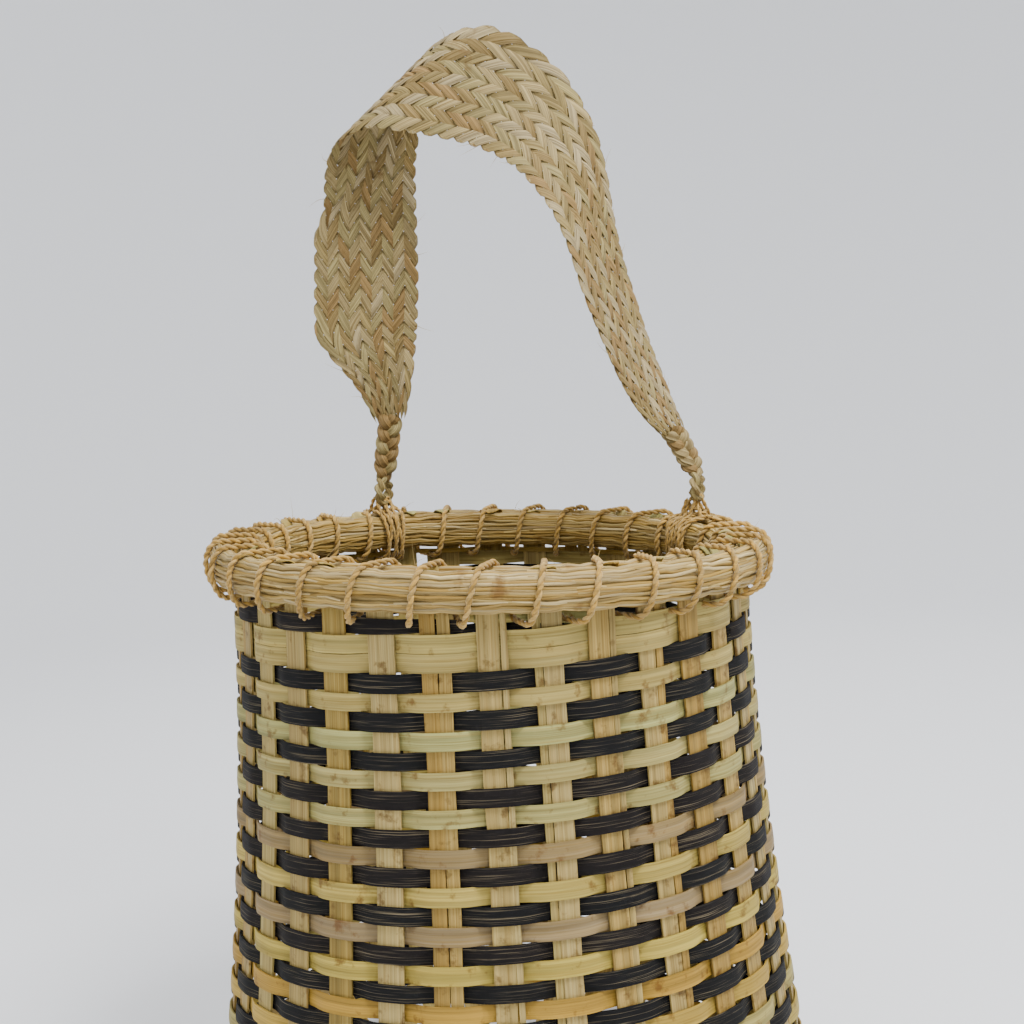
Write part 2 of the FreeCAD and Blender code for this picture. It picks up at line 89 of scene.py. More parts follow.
def wall_profile():
    """Distance, radius and height along the middle surface from the base's centre upwards."""
    span = RIM_HEIGHT - BELLY_HEIGHT
    slope = WALL_FLARE * (BELLY_RADIUS - MOUTH_RADIUS) / span
    corner_turn = math.pi / 2 + math.atan(slope)
    corner = (BELLY_HEIGHT - BASE_MIDDLE) / (1 - math.cos(corner_turn))
    base = BELLY_RADIUS - corner * math.sin(corner_turn)
    turn = np.linspace(0, corner_turn, 80)
    height = np.linspace(BELLY_HEIGHT, RIM_HEIGHT + 30 * MM, 120)[1:]
    share = np.clip((RIM_HEIGHT - height) / span, 0, None)
    radius = MOUTH_RADIUS + (BELLY_RADIUS - MOUTH_RADIUS) * share ** WALL_FLARE
    r = np.concatenate([[0], base + corner * np.sin(turn), radius])
    z = np.concatenate([[BASE_MIDDLE], BASE_MIDDLE + corner * (1 - np.cos(turn)), height])
    arc = np.concatenate([[0], np.cumsum(np.hypot(np.diff(r), np.diff(z)))])
    return arc, r, z, base


ARC, PROFILE_RADIUS, PROFILE_HEIGHT, BASE_RADIUS = wall_profile()
CORNER_ARC = float(np.interp(BELLY_HEIGHT, PROFILE_HEIGHT, ARC))


def arc_at(height):
    """Distance along the profile at which the wall reaches a height."""
    return np.interp(height, PROFILE_HEIGHT, ARC)


def wall_at(angle, arc):
    """Point, upward direction and outward normal of the middle surface."""
    radius, height = (np.interp(arc, ARC, column) for column in (PROFILE_RADIUS, PROFILE_HEIGHT))
    reach = 1 * MM
    rise = [np.interp(arc + reach, ARC, c) - np.interp(arc - reach, ARC, c)
            for c in (PROFILE_RADIUS, PROFILE_HEIGHT)]
    length = np.hypot(*rise)
    radial, upward = (rise[0] / length)[..., None], (rise[1] / length)[..., None]
    out, up = direction(angle), np.array([0.0, 0.0, 1.0])
    point = out * radius[..., None] + up * height[..., None]
    return point, out * radial + up * upward, out * upward - up * radial


print("flat base out to %.1f mm, corner ends %.1f mm along" % (BASE_RADIUS / MM, CORNER_ARC / MM))

# %% [markdown]
# ## Strips
# A splint, a weft and a leaf strip are all the same thing: a thin ribbon with a slightly
# crowned face. A curve with a bevel would give them too, but it can't change its width along
# the way. So one helper sweeps a small closed section along any line, and gives each strip a
# UV map in metres (along, across) for its grain and a colour of its own.

# %% Strip helper
FACE_POINTS = 4                       # points across the face of a strip
EDGE_ANGLE = math.radians(38)         # a corner sharper than this stays a crisp edge


def link_to_scene(name, data):
    """A new object in the scene."""
    thing = bpy.data.objects.new(name, data)
    bpy.context.scene.collection.objects.link(thing)
    return thing


def dress(mesh, uv, colours):
    """Gives a mesh its strip_uv map and strip_colour from values at its vertices."""
    corner_vertex = np.zeros(len(mesh.loops), int)
    mesh.loops.foreach_get("vertex_index", corner_vertex)
    mesh.uv_layers.new(name="strip_uv").data.foreach_set("uv", uv[corner_vertex].ravel())
    rgba = np.concatenate([colours, np.ones((len(colours), 1))], 1)
    paint = mesh.color_attributes.new("strip_colour", "FLOAT_COLOR", "POINT")
    paint.data.foreach_set("color", rgba.ravel())


def travelled_along(points):
    """Distance from the first point of a line to each one."""
    return np.concatenate([[0], np.cumsum(np.linalg.norm(np.diff(points, axis=0), axis=1))])


class Strips:
    """Collects strips and turns them into one mesh object."""

    def __init__(self):
        self.points, self.faces, self.uvs, self.colours, self.count = [], [], [], [], 0

    def add_grid(self, grid, uv, colour, closed=False):
        """A tube of sections: grid is (sections, corners, 3), uv the same with 2."""
        rows, corners = grid.shape[:2]
        index = self.count + np.arange(rows * corners).reshape(rows, corners)
        around = np.roll(index, -1, 1)
        first, second = (index, np.roll(index, -1, 0)) if closed else (index[:-1], index[1:])
        round_first, round_second = ((around, np.roll(around, -1, 0)) if closed
                                     else (around[:-1], around[1:]))
        quads = np.stack([first, round_first, round_second, second], -1).reshape(-1, 4)
        self.faces.extend(map(tuple, quads.tolist()))
        if not closed:
            self.faces.append(tuple(index[0][::-1].tolist()))
            self.faces.append(tuple(index[-1].tolist()))
        self.points.append(grid.reshape(-1, 3))
        self.uvs.append(uv.reshape(-1, 2))
        colour = np.broadcast_to(np.asarray(colour, float), (rows, 3))
        self.colours.append(np.repeat(colour, corners, 0))
        self.count += rows * corners

    def add_strip(self, centre, across, normal, low, high, thickness, crown, colour, chance):
        """A ribbon from low to high across its line, with a crowned outer face."""
        low, high = (np.broadcast_to(value, len(centre))[:, None] for value in (low, high))
        share = np.linspace(-1, 1, FACE_POINTS)
        share = (1 + np.sign(share) * np.abs(share) ** 0.5) / 2
        face = low + (high - low) * share
        rise = thickness / 2 + crown * (1 - (2 * share - 1) ** 4)
        outer_side = np.concatenate([face, face[:, ::-1]], 1)
        depth = np.concatenate([rise, (rise - thickness)[::-1]])
        grid = (centre[:, None] + across[:, None] * outer_side[..., None]
                + normal[:, None] * depth[None, :, None])
        uv = np.stack(np.broadcast_arrays(travelled_along(centre)[:, None] + chance.uniform(0, 9),
                                          outer_side + chance.uniform(0, 9)), -1)
        self.add_grid(grid, uv, colour)

    def build(self, name):
        """One mesh object, with its normals outwards."""
        mesh = bpy.data.meshes.new(name)
        mesh.from_pydata(np.concatenate(self.points).tolist(), [], self.faces)
        dress(mesh, np.concatenate(self.uvs), np.concatenate(self.colours))
        mesh.polygons.foreach_set("use_smooth", np.ones(len(mesh.polygons), bool))
        turn_outwards(mesh)
        mesh.set_sharp_from_angle(angle=EDGE_ANGLE)
        print("%s: %d faces" % (name, len(mesh.polygons)))
        return link_to_scene(name, mesh)


def turn_outwards(mesh):
    """Recalculates the normals of closed shells."""
    shell = bmesh.new()
    shell.from_mesh(mesh)
    bmesh.ops.recalc_face_normals(shell, faces=shell.faces)
    shell.to_mesh(mesh)
    shell.free()


def unit(vectors):
    """The vectors at length 1."""
    return vectors / np.linalg.norm(vectors, axis=-1, keepdims=True)


DEEPER, RICHER = 0.64, 1.42           # soft light washes colours out, so they start stronger


def shade(red, green, blue):
    """A colour given as it looks on a screen, as the linear one that shaders use."""
    linear = np.array([(value / 255) ** 2.2 for value in (red, green, blue)])
    grey = linear.mean()
    return np.clip(grey + (linear - grey) * RICHER, 0.004, 1) * DEEPER


def wobble(position, wavelength, seed):
    """A smooth wandering value, about -1 to 1, along a line."""
    draws = np.random.RandomState(seed)
    total = 0
    for share in (1.0, 0.61, 0.37):
        total = total + np.sin(position / (wavelength * share) * 2 * math.pi
                               + draws.uniform(0, 2 * math.pi)) * share
    return total / 2


# %% [markdown]
# ## Surface effects
# The dry plant surfaces share two effects: grain along the strip and small brown stains. Each
# is a node group that gives masks, so that every material can place it with its own numbers. Image textures could do it too, but masks from nodes stay
# sharp at any size and need no unwrapping beyond the strip's own UV map.

# %% Node helpers
def fill(tree, socket, value):
    """Sets an input from a Field, a socket, a number or a linear colour."""
    value = getattr(value, "socket", value)
    if isinstance(value, bpy.types.NodeSocket):
        tree.links.new(value, socket)
    elif socket.type == "RGBA":
        socket.default_value = (*value, 1)
    else:
        socket.default_value = value


def put(tree, kind, inputs=(), **settings):
    """Adds a node; its inputs are given by name or number, its settings as keywords."""
    node = tree.nodes.new(kind)
    for title, value in settings.items():
        setattr(node, title, value)
    for key, value in dict(inputs).items():
        fill(tree, node.inputs[key], value)
    return node


class Field:
    """A socket that arithmetic works on: each operation adds a Math node."""

    def __init__(self, tree, socket):
        self.tree, self.socket = tree, socket

    def math(self, operation, *others):
        inputs = enumerate((self.socket, *others))
        return Field(self.tree, put(self.tree, "ShaderNodeMath", inputs,
                                    operation=operation).outputs[0])

    def __add__(self, other):
        return self.math("ADD", other)

    def __sub__(self, other):
        return self.math("SUBTRACT", other)

    def __mul__(self, other):
        return self.math("MULTIPLY", other)

    def __truediv__(self, other):
        return self.math("DIVIDE", other)


def new_group(name, inputs, outputs, kind="ShaderNodeTree"):
    """An empty node group, its inputs as Fields by name, and its output node."""
    tree = bpy.data.node_groups.new(name, kind)
    for title, socket_type, value in inputs:
        socket = tree.interface.new_socket(title, in_out="INPUT", socket_type=socket_type)
        if value is not None:
            socket.default_value = value
    for title, socket_type in outputs:
        tree.interface.new_socket(title, in_out="OUTPUT", socket_type=socket_type)
    given = tree.nodes.new("NodeGroupInput")
    fields = {socket.name: Field(tree, socket) for socket in given.outputs if socket.name}
    return tree, fields, tree.nodes.new("NodeGroupOutput")


# %% Lengthwise grain group
def grain_group():
    """Fine fibres along a strip and broad bands of tone, as two masks."""
    tree, given, result = new_group(
        "lengthwise_grain",
        [("Vector", "NodeSocketVector", None), ("Along", "NodeSocketFloat", 30.0),
         ("Across", "NodeSocketFloat", 1500.0)],
        [("Streaks", "NodeSocketFloat"), ("Broad", "NodeSocketFloat")])
    scale = put(tree, "ShaderNodeCombineXYZ", {0: given["Along"], 1: given["Across"]})
    stretched = put(tree, "ShaderNodeVectorMath", {0: given["Vector"], 1: scale.outputs[0]},
                    operation="MULTIPLY")
    for output, share, detail in (("Streaks", 1.0, 3.0), ("Broad", 0.22, 2.0)):
        noise = put(tree, "ShaderNodeTexNoise", {"Scale": share, "Detail": detail,
                                                 "Roughness": 0.65,
                                                 "Vector": stretched.outputs[0]})
        fill(tree, result.inputs[output], noise.outputs["Fac"])
    return tree


# %% Stain group
MARK_EDGE = 9.0                       # how abruptly a mark ends


def stain_group():
    """Small scattered marks on Object coordinates: 1 inside a mark."""
    tree, given, result = new_group(
        "stain_marks",
        [("Size", "NodeSocketFloat", 120.0), ("Cover", "NodeSocketFloat", 0.35)],
        [("Mask", "NodeSocketFloat")])
    place = put(tree, "ShaderNodeTexCoord")
    noise = put(tree, "ShaderNodeTexNoise", {"Detail": 4.0, "Roughness": 0.6,
                                             "Vector": place.outputs["Object"],
                                             "Scale": given["Size"]})
    start = put(tree, "ShaderNodeMath", {0: 1.0, 1: given["Cover"]}, operation="SUBTRACT")
    sharp = (Field(tree, noise.outputs["Fac"]) - start.outputs[0]) * MARK_EDGE
    sharp.socket.node.use_clamp = True
    fill(tree, result.inputs["Mask"], sharp)
    return tree


GRAIN, STAINS = grain_group(), stain_group()

# %% [markdown]
# ## Dry plant materials
# Split cane, dyed cane, straw, twine and palm leaf differ in colour, in how coarse their
# fibres are and in how much they shine. Each one is a Principled shader whose base colour
# starts from the strip's own colour, darkened along the fibres and browned in the stains.

# %% Material builder
MARK_STRENGTH, BUMP_STRENGTH = 0.7, 0.8


def mixed(tree, amount, first, second):
    """A blend of two colours."""
    return put(tree, "ShaderNodeMix", {"Factor": amount, 6: first, 7: second},
               data_type="RGBA").outputs[2]


def mapped(tree, value, to_low, to_high, from_low=0.0, from_high=1.0):
    """A value moved from one range to another."""
    return put(tree, "ShaderNodeMapRange", {
        "Value": value, "From Min": from_low, "From Max": from_high,
        "To Min": to_low, "To Max": to_high}).outputs[0]


def plant_material(name, along, across, fibre_colour, fibre_amount, stain_colour, stain_size,
                   stain_cover, roughness, bump, low=0.35, high=0.7, sheen=0.0):
    """A dry plant surface that starts from the strip's own colour."""
    material = bpy.data.materials.new(name)
    material.use_nodes = True
    tree = material.node_tree
    paint = put(tree, "ShaderNodeAttribute", attribute_name="strip_colour")
    uv = put(tree, "ShaderNodeUVMap", uv_map="strip_uv")
    grain = put(tree, "ShaderNodeGroup", node_tree=GRAIN)
    for title, value in (("Vector", uv.outputs[0]), ("Along", along), ("Across", across)):
        fill(tree, grain.inputs[title], value)
    stains = put(tree, "ShaderNodeGroup", node_tree=STAINS)
    for title, value in (("Size", stain_size), ("Cover", stain_cover)):
        fill(tree, stains.inputs[title], value)
    streaks = grain.outputs["Streaks"]
    fibre_share = Field(tree, mapped(tree, streaks, 0, 1, low, high)) * fibre_amount
    fibres = mixed(tree, fibre_share, paint.outputs["Color"], fibre_colour)
    tone = mapped(tree, grain.outputs["Broad"], 0.6, 1.24, 0.3, 0.7)
    toned = put(tree, "ShaderNodeVectorMath", {0: fibres, "Scale": tone}, operation="SCALE")
    marked = Field(tree, stains.outputs["Mask"]) * MARK_STRENGTH
    relief = put(tree, "ShaderNodeBump", {"Distance": bump, "Strength": BUMP_STRENGTH,
                                          "Height": streaks})
    shader = tree.nodes["Principled BSDF"]
    for title, value in (
            ("Base Color", mixed(tree, marked, toned.outputs[0], stain_colour)),
            ("Roughness", mapped(tree, streaks, roughness - 0.1, roughness + 0.14)),
            ("Normal", relief.outputs[0]), ("Sheen Weight", sheen),
            ("Specular IOR Level", 0.22)):
        fill(tree, shader.inputs[title], value)
    return material


# %% The six finishes
# Each: fibres per metre along and across, fibre colour and share, stain colour, fineness and
# cover, roughness, bump height, and where the fibres start and are full.
FINISH = {
    "natural_splint": plant_material("split_cane", 18, 1400, shade(132, 102, 60), 0.62,
                                     shade(88, 62, 38), 120, 0.43, 0.6, 0.22 * MM),
    "pale_splint": plant_material("pale_cane", 16, 1300, shade(140, 114, 70), 0.62,
                                  shade(104, 72, 42), 130, 0.41, 0.6, 0.2 * MM),
    "dark_splint": plant_material("dyed_cane", 20, 2000, shade(190, 176, 150), 0.85,
                                  shade(22, 18, 16), 60, 0.4, 0.78, 0.25 * MM, 0.56, 0.8),
    "rim_straw": plant_material("straw", 14, 900, shade(128, 94, 50), 0.55,
                                shade(112, 80, 44), 70, 0.4, 0.55, 0.15 * MM),
    "twine": plant_material("fibre_twine", 60, 2200, shade(150, 118, 76), 0.45,
                            shade(150, 120, 80), 150, 0.3, 0.75, 0.12 * MM, sheen=0.2),
    "plaited_palm": plant_material("palm_leaf", 14, 1500, shade(92, 72, 44), 0.85,
                                   shade(100, 72, 42), 80, 0.36, 0.62, 0.4 * MM),
}
print(len(FINISH), "finishes")


def finish(piece, slot, body, *nodes):
    """Gives a finished piece its material and its body, and hides the CAD nodes that it stands
    for.
    """
    if not piece.data.materials:
        piece.data.materials.append(FINISH[slot])
    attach(piece, body)
    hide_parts(*nodes)


# %% [markdown]
# ## Uprights
# Sixteen long splints cross in the base, over and under each other, and turn up the wall on
# both sides as thirty-two uprights. A real splint was often split badly, so a narrow sliver
# lies beside a wide one. Each is swept along its own line: up one side, across the base and
# up the other side. A splint's slivers share that line, side by side.

# %% One splint's line
SPLINTS_EACH_WAY = 8


def placed(along, lateral, height, along_x):
    """Points of a splint that runs along X or along Y."""
    along, lateral, height = np.broadcast_arrays(along, lateral, height)
    return np.stack([along, lateral, height] if along_x else [lateral, along, height], -1)


def splint_line(index):
    return (index - (SPLINTS_EACH_WAY - 1) / 2) * STEP


def climbing_part(index, side, along_x):
    """Line, direction across and normal of one end, from the base's edge to its tip."""
    line = splint_line(index)
    out = placed(side * math.cos(line), math.sin(line), 0, along_x)
    across = placed(-side * math.sin(line), math.cos(line), 0, along_x)
    angle = math.atan2(out[0], -out[1])
    top = arc_at(rim_level(angle) + BUNDLE_HEIGHT / 2 - 2 * MM)
    arc = np.concatenate([np.linspace(BASE_RADIUS, CORNER_ARC, 22),
                          np.linspace(CORNER_ARC, top, 90)[1:]])
    point, _, normal = wall_at(np.full(len(arc), angle), arc)
    return point, np.tile(across, (len(arc), 1)), normal


def base_part(index, along_x):
    """Line of a splint over and under the eight that cross it in the base."""
    offset = BASE_RADIUS * math.sin(splint_line(index))
    along, lift = [], []
    for other in range(SPLINTS_EACH_WAY):
        on_top = (index + other) % 2 == (0 if along_x else 1)
        middle = BASE_RADIUS * math.sin(splint_line(other))
        for share in (-0.5, 0.0, 0.5):
            along.append(middle + share * SPLINT_WIDTH)
            lift.append(BASE_LIFT if on_top else -BASE_LIFT)
    point = placed(np.array(along), offset, BASE_MIDDLE + np.array(lift), along_x)
    across = np.tile(placed(0, 1, 0, along_x), (len(along), 1))
    return point, across, np.tile([0.0, 0.0, -1.0], (len(along), 1))


# %% Sweep the uprights
SPLINT_TONES = [shade(202, 178, 128), shade(208, 188, 140), shade(192, 170, 118),
                shade(198, 182, 134), shade(186, 160, 112), shade(210, 192, 146)]


def slivers(chance):
    """How one splint is divided across its width, as pairs of edges from -0.5 to 0.5."""
    cut = chance.choice([None, None, 0.2, -0.22, 0.27, -0.3, 0.05])
    gap = 0.014
    if cut is None:
        return [(-0.49, 0.49)]
    return [(-0.5, cut - gap), (cut + gap, 0.5)]


def build_uprights():
    chance = random.Random(7)
    strips = Strips()
    for along_x in (True, False):
        for index in range(SPLINTS_EACH_WAY):
            parts = [climbing_part(index, -1, along_x), base_part(index, along_x),
                     climbing_part(index, 1, along_x)]
            parts[0] = [column[::-1] for column in parts[0]]
            centre, across, normal = (np.concatenate(column) for column in zip(*parts))
            travelled = np.arange(len(centre)) * 1.0
            for low, high in slivers(chance):
                tone = chance.choice(SPLINT_TONES) * chance.uniform(0.9, 1.08)
                sway = wobble(travelled, 60, chance.randrange(9999)) * 0.35 * MM
                edge = wobble(travelled, 25, chance.randrange(9999)) * 0.12 * MM
                raise_by = chance.uniform(-0.1, 0.1) * MM
                strips.add_strip(centre + across * sway[:, None] + normal * raise_by, across,
                                 normal, low * SPLINT_WIDTH - edge, high * SPLINT_WIDTH + edge,
                                 0.95 * MM, 0.12 * MM, tone, chance)
    return strips.build("upright_splints")


uprights = build_uprights()
finish(uprights, "natural_splint", "basket",
       *("splint_%s_%d" % (way, number + 1) for way in ("across", "along")
         for number in range(SPLINTS_EACH_WAY)))

# %% [markdown]
# ## Wefts
# A dark and a light weft chase each other round the wall in a spiral, in front of every
# second upright and behind the others. A row bends over an upright and dives between two, so
# its depth is a wave that flattens over the splint. Each weft is spliced from many strips:
# about one a turn, overlapping at the back, each with the colour of its own cane.

# %% Where the rows run
BOTTOM_ROW = BASE_RADIUS + 20.5 * MM
WEFT_TURNS, PAIRS_UNDER_RIM = 15, 1.6
UNDER_RIM = arc_at(RIM_HEIGHT - BUNDLE_HEIGHT / 2)
PAIR = (UNDER_RIM - BOTTOM_ROW) / (WEFT_TURNS - 0.5 + PAIRS_UNDER_RIM)
WEFT_WIDTH = PAIR / 2 - 0.45 * MM
WEFT_THICKNESS = 0.8 * MM
WEFT_DEPTH = 1.4 * MM
LASHING_DEPTH = 3.4 * MM
LAST_TURN = (WEFT_TURNS - 1) * UPRIGHTS
EXTRA_FROM, EXTRA_FULL = 18, 22


def light_arc(count):
    return BOTTOM_ROW + PAIR * count / UPRIGHTS


def dark_arc(count):
    """The dark spiral climbs over an extra light row near its end."""
    share = np.clip((count - LAST_TURN - EXTRA_FROM) / (EXTRA_FULL - EXTRA_FROM), 0, 1)
    return light_arc(count) + PAIR / 2 * (1 + share * share * (3 - 2 * share))


def extra_arc(count):
    return light_arc(count) + PAIR / 2


def weft_depth(count, radius, over_even):
    """Depth of the weft's middle: in front of every second upright, behind the others."""
    upright = np.floor(count)
    from_middle = np.abs(count - upright - 0.5)
    flat = SPLINT_WIDTH / 2 / radius / STEP * 0.85
    share = np.clip((0.5 - from_middle) / (0.5 - flat), 0, 1)
    side = np.where((upright % 2 == 0) == over_even, 1.0, -1.0)
    belly = 0.25 * MM * np.cos(from_middle * math.pi)
    return side * (WEFT_DEPTH * np.sin(share * math.pi / 2) + belly)


def add_weft(strips, arc_of, start, end, over_even, colour, chance, width=1.0,
             fills_up=False):
    """One strip of a weft, from one count of uprights after the seam to another.

    A strip that fills up reaches the straw, however far that is.
    """
    count = np.linspace(start, end, int(round((end - start) * 12)) + 1)
    angle = SEAM + STEP * count
    arc = arc_of(count) + wobble(count, 9, 11) * 0.25 * MM
    centre, upward, normal = wall_at(angle, arc)
    radius = np.hypot(centre[:, 0], centre[:, 1])
    depth = weft_depth(count, radius, over_even)
    ceiling = arc_at(rim_level(angle) - BUNDLE_HEIGHT / 2) - LASHING_DEPTH
    half = WEFT_WIDTH * width / 2
    edge = wobble(count, 5, chance.randrange(9999)) * 0.15 * MM
    high = np.minimum(half + edge, ceiling - arc)
    low = np.minimum(-half + edge * 0.4, high - 0.6 * MM)
    if fills_up:
        high = np.maximum(low + 0.5 * MM, ceiling + LASHING_DEPTH * 0.5 - arc)
    shading = 1 + 0.1 * wobble(count, 7, chance.randrange(9999))[:, None]
    strips.add_strip(centre + normal * depth[:, None], upward, normal, low, high,
                     WEFT_THICKNESS, 0.12 * MM, colour * shading, chance)


# %% Weave the dark rows
DARK_TONES = [shade(20, 17, 16), shade(14, 12, 12), shade(27, 23, 20), shade(17, 15, 14)]


def build_dark_wefts():
    chance = random.Random(3)
    strips = Strips()
    start, end = 0, WEFT_TURNS * UPRIGHTS
    while start < end:
        reach = min(end, start + chance.randint(26, 38))
        if end - reach < 8:
            reach = end
        add_weft(strips, dark_arc, start, reach, True, chance.choice(DARK_TONES), chance,
                 chance.uniform(0.97, 1.05))
        start = reach if reach == end else reach - 1
    return strips.build("dark_wefts")


dark_wefts = build_dark_wefts()
finish(dark_wefts, "dark_splint", "basket",
       *("dark_weft_%02d" % (turn + 1) for turn in range(WEFT_TURNS)))

# %% Weave the light rows
LIGHT_TONES = [
    shade(205, 165, 105), shade(200, 182, 125), shade(176, 160, 125), shade(208, 190, 130),
    shade(196, 186, 135), shade(205, 178, 118), shade(207, 172, 112), shade(208, 190, 126),
    shade(166, 150, 124), shade(210, 192, 132), shade(164, 147, 118), shade(192, 186, 138),
    shade(200, 190, 142), shade(188, 186, 138), shade(206, 190, 138), shade(202, 186, 136)]


def build_light_wefts():
    chance = random.Random(5)
    strips = Strips()
    half_turn = UPRIGHTS // 2
    last = WEFT_TURNS * UPRIGHTS + EXTRA_FROM
    for turn, tone in enumerate(LIGHT_TONES):
        start = max(0, turn * UPRIGHTS - half_turn)
        end = min(last, turn * UPRIGHTS + half_turn + 1)
        if turn == len(LIGHT_TONES) - 1:
            end = last
        add_weft(strips, light_arc, start, end, False, tone, chance, chance.uniform(0.97, 1.04))
    around = WEFT_TURNS * UPRIGHTS
    add_weft(strips, extra_arc, around - UPRIGHTS + EXTRA_FULL, around + 7, False,
             shade(213, 197, 142), chance, 1.02)
    add_weft(strips, lambda count: light_arc(count) + PAIR * 0.49, around + 6.5,
             around + EXTRA_FULL, True, shade(190, 165, 112), chance, 0.98, True)
    return strips.build("light_wefts")


light_wefts = build_light_wefts()
finish(light_wefts, "pale_splint", "basket", "extra_light_weft",
       *("light_weft_%02d" % (turn + 1) for turn in range(WEFT_TURNS + 1)))

# %% [markdown]
# ## Straw bundles
# Two bundles of straw clamp the tops of the uprights. A texture on an oval ring would look
# painted, so the stems are real: Geometry Nodes copy one circle many times, spread the copies
# round the oval section, let each wander, pinch them where the twine pulls tight, and sweep
# a small round section along each.

# %% Geometry node helpers
RIM_TURN = Matrix.Translation((0, 0, RIM_HEIGHT)) @ Matrix.Rotation(
    -RIM_TILT, 4, (math.sin(RIM_HIGH_SIDE + math.pi / 2),
                   -math.cos(RIM_HIGH_SIDE + math.pi / 2), 0))
STEM_SECTION = 6                      # corners of a stem's or a ply's section


def store(tree, geometry, name, value):
    """Keeps a field on the points as a named attribute."""
    return put(tree, "GeometryNodeStoreNamedAttribute",
               {"Geometry": geometry, "Name": name, "Value": value},
               data_type="FLOAT", domain="POINT").outputs[0]


def sweep(tree, line, radius, caps=False):
    """A smooth round tube along each line."""
    section = put(tree, "GeometryNodeCurvePrimitiveCircle",
                  {"Resolution": STEM_SECTION, "Radius": radius})
    tube_node = put(tree, "GeometryNodeCurveToMesh",
                    {"Curve": line, "Profile Curve": section.outputs[0], "Fill Caps": caps})
    return put(tree, "GeometryNodeSetShadeSmooth", {0: tube_node.outputs[0]}).outputs[0]


def close_tree(tree, result, geometry, material):
    """Ends a tree in Realize Instances and Set Material."""
    real = put(tree, "GeometryNodeRealizeInstances", {0: geometry})
    dressed = put(tree, "GeometryNodeSetMaterial",
                  {"Geometry": real.outputs[0], "Material": material})
    fill(tree, result.inputs["Geometry"], dressed.outputs[0])


def run_tree(name, source, tree, values):
    """Evaluates a tree on a mesh and keeps the result as a plain mesh object."""
    holder = link_to_scene(name, source)
    modifier = holder.modifiers.new("nodes", "NODES")
    modifier.node_group = tree
    for item in tree.interface.items_tree:
        if item.in_out == "INPUT" and item.name in values:
            modifier[item.identifier] = values[item.name]
    graph = bpy.context.evaluated_depsgraph_get()
    made = bpy.data.meshes.new_from_object(holder.evaluated_get(graph), depsgraph=graph)
    holder.modifiers.clear()
    holder.data = made
    made.name = name
    print("%s: %d faces" % (name, len(made.polygons)))
    return holder


def random_share(tree, index, seed):
    """A number from 0 to 1 for each copy."""
    node = put(tree, "FunctionNodeRandomValue", {"ID": index, "Seed": seed}, data_type="FLOAT")
    return [socket for socket in node.outputs if socket.type == "VALUE" and socket.enabled][0]


def noise_field(tree, vector, scale, shift):
    """Smooth noise from -0.5 to 0.5."""
    moved = put(tree, "ShaderNodeVectorMath", {0: vector, 1: (shift, 0, 0)}, operation="ADD")
    node = put(tree, "ShaderNodeTexNoise", {"Scale": scale, "Detail": 1.0,
                                            "Vector": moved.outputs[0]})
    return Field(tree, node.outputs["Fac"]) - 0.5


# %% The straw tree
RING_STEPS = 224                      # points round a bundle, seven for each upright
PINCH, PINCH_SHARPNESS = 0.1, 14.0    # how much and how abruptly a stitch squeezes


def straw_tree():
    """Stems round an oval ring, pinched by the stitches."""
    number, whole = "NodeSocketFloat", "NodeSocketInt"
    tree, given, result = new_group(
        "straw_bundle",
        [("Geometry", "NodeSocketGeometry", None), ("Ring Radius", number, 0.12),
         ("Half Width", number, 0.005), ("Half Height", number, 0.008), ("Stems", whole, 30),
         ("Stem Radius", number, 0.001), ("Stitch Shift", number, 0.0), ("Seed", whole, 0),
         ("Material", "NodeSocketMaterial", None)],
        [("Geometry", "NodeSocketGeometry")], "GeometryNodeTree")
    ring_radius, stem_radius = given["Ring Radius"], given["Stem Radius"]
    ring = put(tree, "GeometryNodeCurvePrimitiveCircle",
               {"Resolution": RING_STEPS, "Radius": ring_radius})
    copies = put(tree, "GeometryNodeDuplicateElements", domain="SPLINE")
    for title, value in (("Geometry", ring.outputs[0]), ("Amount", given["Stems"])):
        fill(tree, copies.inputs[title], value)
    stem = Field(tree, copies.outputs["Duplicate Index"])
    place = put(tree, "GeometryNodeInputPosition")
    parts = put(tree, "ShaderNodeSeparateXYZ", {0: place.outputs[0]})
    x, y = Field(tree, parts.outputs[0]), Field(tree, parts.outputs[1])
    angle, side_x, side_y = y.math("ARCTAN2", x), x / ring_radius, y / ring_radius
    line = put(tree, "ShaderNodeCombineXYZ", {0: side_x, 1: side_y, 2: stem * 3.7}).outputs[0]
    roll = stem / given["Stems"] * (2 * math.pi) + noise_field(tree, line, 3.0, 4.0)
    stitched = ((angle + given["Stitch Shift"]) * (UPRIGHTS / 2)).math("COSINE")
    pinch = stitched.math("ABSOLUTE").math("POWER", PINCH_SHARPNESS)
    size = (pinch * -PINCH + 1.0) * (noise_field(tree, line, 9.0, 1.0) * 0.12 + 1.0)
    out = roll.math("COSINE") * size * (given["Half Width"] - stem_radius)
    up = roll.math("SINE") * size * (given["Half Height"] - stem_radius)
    reach = ring_radius + out
    position = put(tree, "ShaderNodeCombineXYZ", {0: side_x * reach, 1: side_y * reach, 2: up})
    moved = put(tree, "GeometryNodeSetPosition", {"Geometry": copies.outputs["Geometry"],
                                                  "Position": position.outputs[0]})
    thick = noise_field(tree, line, 6.0, 8.0) * 1.5 + 0.95
    radius = put(tree, "GeometryNodeSetCurveRadius",
                 {0: moved.outputs[0], "Radius": thick.math("MAXIMUM", 0.35)})
    geometry = store(tree, radius.outputs[0], "along", angle * ring_radius)
    geometry = store(tree, geometry, "copy", random_share(tree, stem, given["Seed"] + 1))
    joined = put(tree, "GeometryNodeJoinGeometry", {0: sweep(tree, geometry, stem_radius)})
    fill(tree, joined.inputs[0], given["Geometry"])
    close_tree(tree, result, joined.outputs[0], given["Material"])
    return tree


